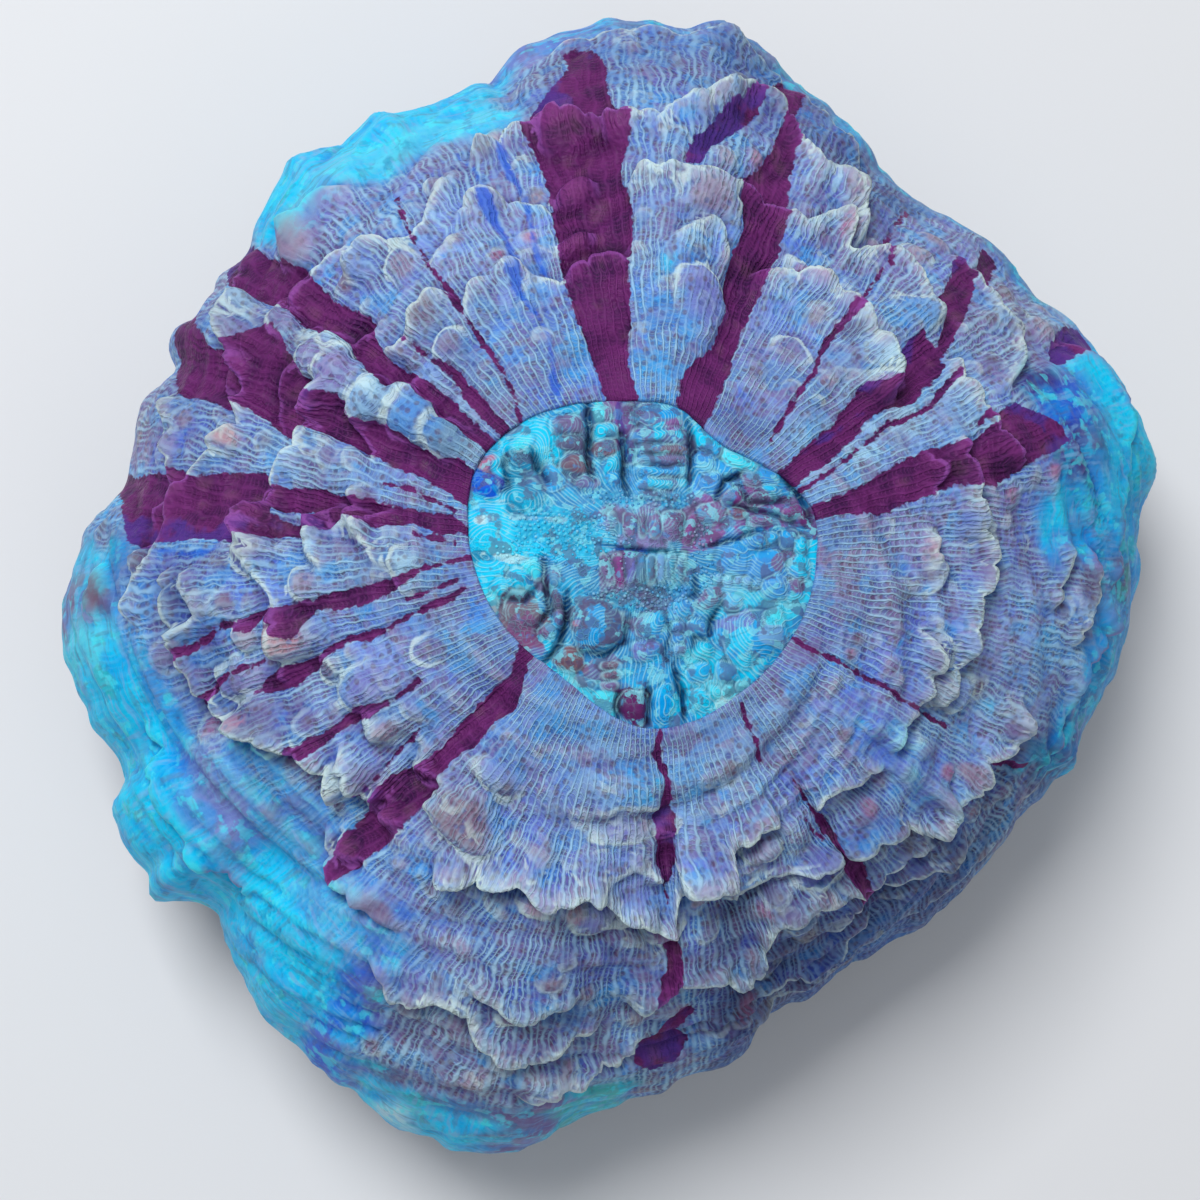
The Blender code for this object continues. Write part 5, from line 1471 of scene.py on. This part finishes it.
papillae = grown("mouth_papillae", disc, t.tree, {
    "Spacing": 0.28 * MM, "Density": 13.0 / MM**2, "Bead Radius": 0.11 * MM, "Seed": 5,
    "Material": bead_skin,
})
print("papillae:", len(papillae.data.polygons) // 40, "beads")

# %% [markdown]
# ## The stony foot
#
# Under the flesh the polyp builds a stony cup. Fine ribs, the costae, run up its outside, and
# upright plates, the septa, run in towards its middle in cycles: long ones with shorter ones
# between them. Here the cup is cut off flat, so the underside shows the plates' ends and the gaps
# between them. All of it follows one rule of angle and radius, so Geometry Nodes bend a flat
# strip of points into the stump and push its points in or out by that rule.

# %% Stone material
stone, t, shader = new_material("skeleton stone")
lime = t.mix(t.step(t.noise(3.0, 4.0), 0.35, 0.70), (0.62, 0.55, 0.44), (0.80, 0.77, 0.70))
# Painted shade: the gaps between the plates and the valleys between the ribs are darkened.
lime = t.mix(t.read("shaded_gap") * 0.75, lime, (0.20, 0.17, 0.14))
lime = t.mix(t.step(t.noise(1.2, 3.0), 0.58, 0.70) * 0.5, lime, (0.42, 0.36, 0.33))
t.give(shader["Base Color"], lime)
shader["Roughness"].default_value = 0.85
bumpy(t, shader, t.noise(0.3, 3.0) * 0.6 + t.step(t.cells(0.45), 0.15, 0.35), 0.10, 0.8)

# %% Foot tree
t, given = new_tree("ribbed foot", {
    "Septa": "Float", "Cut Radius": "Float", "Top Radius": "Float", "Height": "Float",
    "Rib Height": "Float", "Gap Depth": "Float", "Material": "Material",
})
turn = t.add("ShaderNodeSeparateXYZ", 0, {0: t.add("GeometryNodeInputPosition")})
run = turn.beside(1)      # 0 to 3 down the outline, as the turn is 0 to 1 round the axis
over_top = t.math("MINIMUM", run, 1.0)
on_side = t.math("MINIMUM", t.most(run - 1.0, 0.0), 1.0)
on_cut = t.most(run - 2.0, 0.0)
flare = (given["Top Radius"] - given["Cut Radius"]) * t.math("POWER", 1.0 - on_side, 1.6)
far = (given["Cut Radius"] + flare) * over_top * (1.0 - on_cut)


def cycle(share_of_septa, reach_in):
    """Thin plates that reach in to a share of the radius: 1 on a plate, 0 in a gap."""
    count = given["Septa"] * share_of_septa
    across_mm = t.saw(turn * count) / count * (far * (2 * math.pi / MM))
    return t.step(across_mm, 0.42, 0.20) * t.step(on_cut, reach_in, reach_in - 0.06)


spongy = t.add("ShaderNodeTexVoronoi", "Distance", {
    "Vector": t.add("ShaderNodeCombineXYZ", 0, {0: turn * 90.0, 1: run * 22.0}), "Scale": 1.0,
})
core = t.step(on_cut, 0.80, 0.88) * t.step(spongy, 0.55, 0.25)
solid = t.most(cycle(0.25, 0.86), cycle(0.5, 0.62), cycle(1.0, 0.34), core, t.step(on_cut, 0.10, 0.05))
shaded_gap = (1.0 - solid) * t.step(on_cut, 0.0, 0.03)
below_top = t.step(on_side, 0.0, 0.08)
ribs = t.step(t.saw(turn * given["Septa"]), 0.42, 0.12) * below_top
ribs = ribs * given["Rib Height"] * (1.0 - t.step(on_cut, 0.0, 0.05))
far = t.most(far + ribs - given["Rib Height"] * below_top, 0.0)
radians_of = turn * (2 * math.pi)
bent = t.add("ShaderNodeCombineXYZ", 0, {
    0: far * t.math("COSINE", radians_of) + AXIS_AT[0] * MM,
    1: far * t.math("SINE", radians_of) + AXIS_AT[1] * MM,
    2: given["Height"] * (1.0 - on_side) + shaded_gap * given["Gap Depth"],
})
# The marked gaps and rib valleys carry the stone's painted shade.
marked = t.add("GeometryNodeStoreNamedAttribute", 0, {
    "Geometry": given["Geometry"], "Name": "shaded_gap",
    "Value": t.most(shaded_gap, t.step(ribs, 0.0003, 0.0) * t.step(on_side, 0.0, 0.1) * 0.45),
}, data_type="FLOAT", domain="POINT")
shaped = t.add("GeometryNodeSetPosition", 0, {"Geometry": marked, "Position": bent})
finish_tree(t, given, t.add("GeometryNodeMergeByDistance", 0, {"Geometry": shaped, "Distance": 0.002 * MM}))

# %% The foot
ROUND, TOP_ROWS, SIDE_ROWS, CUT_ROWS = 1152, 6, 20, 56   # points round it, and rows of points down it
down_strip = np.concatenate((
    np.linspace(0, 1, TOP_ROWS, False), np.linspace(1, 2, SIDE_ROWS, False), np.linspace(2, 3, CUT_ROWS),
))
across_strip, run_strip = np.meshgrid(np.linspace(0, 1, ROUND + 1), down_strip)
strip = np.stack((across_strip, run_strip, 0 * run_strip), axis=-1) / MM
row, column = np.meshgrid(np.arange(len(down_strip) - 1), np.arange(ROUND), indexing="ij")
first = (row * (ROUND + 1) + column).ravel()
faces = np.stack((first, first + ROUND + 1, first + ROUND + 2, first + 1), 1)
flat_strip = new_piece("flat strip", strip, faces)
foot = grown("skeleton_foot", flat_strip, t.tree, {
    "Septa": 96.0, "Cut Radius": FOOT_CUT_RADIUS * MM, "Top Radius": (FOOT_TOP_RADIUS + 0.4) * MM,
    "Height": (UNDERSIDE_HEIGHT + 0.7) * MM, "Rib Height": 0.5 * MM, "Gap Depth": 2.6 * MM,
    "Material": stone,
})
bpy.data.objects.remove(flat_strip)
foot.data.shade_smooth()
print("foot:", len(foot.data.polygons), "faces")

# %% [markdown]
# ## Joining the pieces to the frame
#
# The polyp doesn't move, so every piece rides on the one body. Together they stand for the plain
# solid, which stays in the frame for collision only.

# %% Ride and replace
for piece, finish in ((mantle, "flesh"), (disc, "flesh"), (papillae, "flesh"), (foot, "skeleton")):
    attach(piece, "root")
    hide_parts("coral_polyp")

# %% [markdown]
# ## Floor, light and camera
#
# The coral stands on a plain pale floor under one broad soft light from overhead and a weaker one
# from the front, with an even sky around. The light is kept at the level where a colour renders
# about as it is painted. The floor keeps the coral's shadow. The camera looks almost straight
# down, from a little to the left of the front.

# %% Floor
FLOOR_HALF = 5.0
floor_mesh = bpy.data.meshes.new("floor")
corners = [(x * FLOOR_HALF, y * FLOOR_HALF, 0.0) for x, y in ((-1, -1), (1, -1), (1, 1), (-1, 1))]
floor_mesh.from_pydata(corners, [], [(0, 1, 2, 3)])
floor = placed("floor", floor_mesh)
floor_paint, t, shader = new_material("pale floor")
shader["Base Color"].default_value = (0.70, 0.71, 0.73, 1.0)
shader["Roughness"].default_value = 0.9
floor_mesh.materials.append(floor_paint)

# %% World and lamps
world = bpy.data.worlds.new("sky")
bpy.context.scene.world = world
world.use_nodes = True
t = Tree(world.node_tree)
even_sky = world.node_tree.nodes["Background"]
even_sky.inputs["Color"].default_value = (0.93, 0.96, 1.0, 1.0)
even_sky.inputs["Strength"].default_value = 0.35
seen_sky = t.add("ShaderNodeBackground", 0, {"Color": (0.92, 0.93, 0.95, 1.0), "Strength": 1.0})
ray = t.add("ShaderNodeLightPath", "Is Camera Ray")
seen = t.most(ray, ray.beside("Is Glossy Ray"), ray.beside("Is Transmission Ray"))
either = t.add("ShaderNodeMixShader", 0, {0: seen, 1: Wire(t, even_sky.outputs[0]), 2: seen_sky})
t.give(world.node_tree.nodes["World Output"].inputs[0], either)


def add_lamp(name, place, size, watts):
    """A square soft lamp aimed at the coral."""
    lamp = bpy.data.lights.new(name, "AREA")
    lamp.size, lamp.energy = size, watts
    lamp_object = placed(name, lamp)
    lamp_object.location = place
    lamp_object.rotation_euler = (Vector(place) - Vector((0, 0, 0.02))).to_track_quat("Z", "Y").to_euler()


add_lamp("overhead softbox", (-0.16, 0.22, 0.52), 0.26, 2.9)
add_lamp("front fill", (0.25, -0.50, 0.45), 0.40, 0.4)

# %% Camera
CAMERA_AT, LOOK_AT = (-11.80, -28.75, 189.24), (-0.57, -0.96, 0.0)   # mm
camera = bpy.data.cameras.new("camera")
camera.lens, camera.sensor_width = 66.0, 36.0
camera.clip_start, camera.clip_end = 0.005, 10.0
camera_object = placed("camera", camera)
camera_object.location = Vector(CAMERA_AT) * MM
back = (Vector(CAMERA_AT) - Vector(LOOK_AT)).normalized()
right = Vector((0, 1, 0)).cross(back).normalized()   # +Y points up in the picture
camera_object.rotation_euler = Matrix((right, back.cross(right), back)).transposed().to_euler()
bpy.context.scene.camera = camera_object
bpy.context.scene.view_settings.view_transform = "Standard"
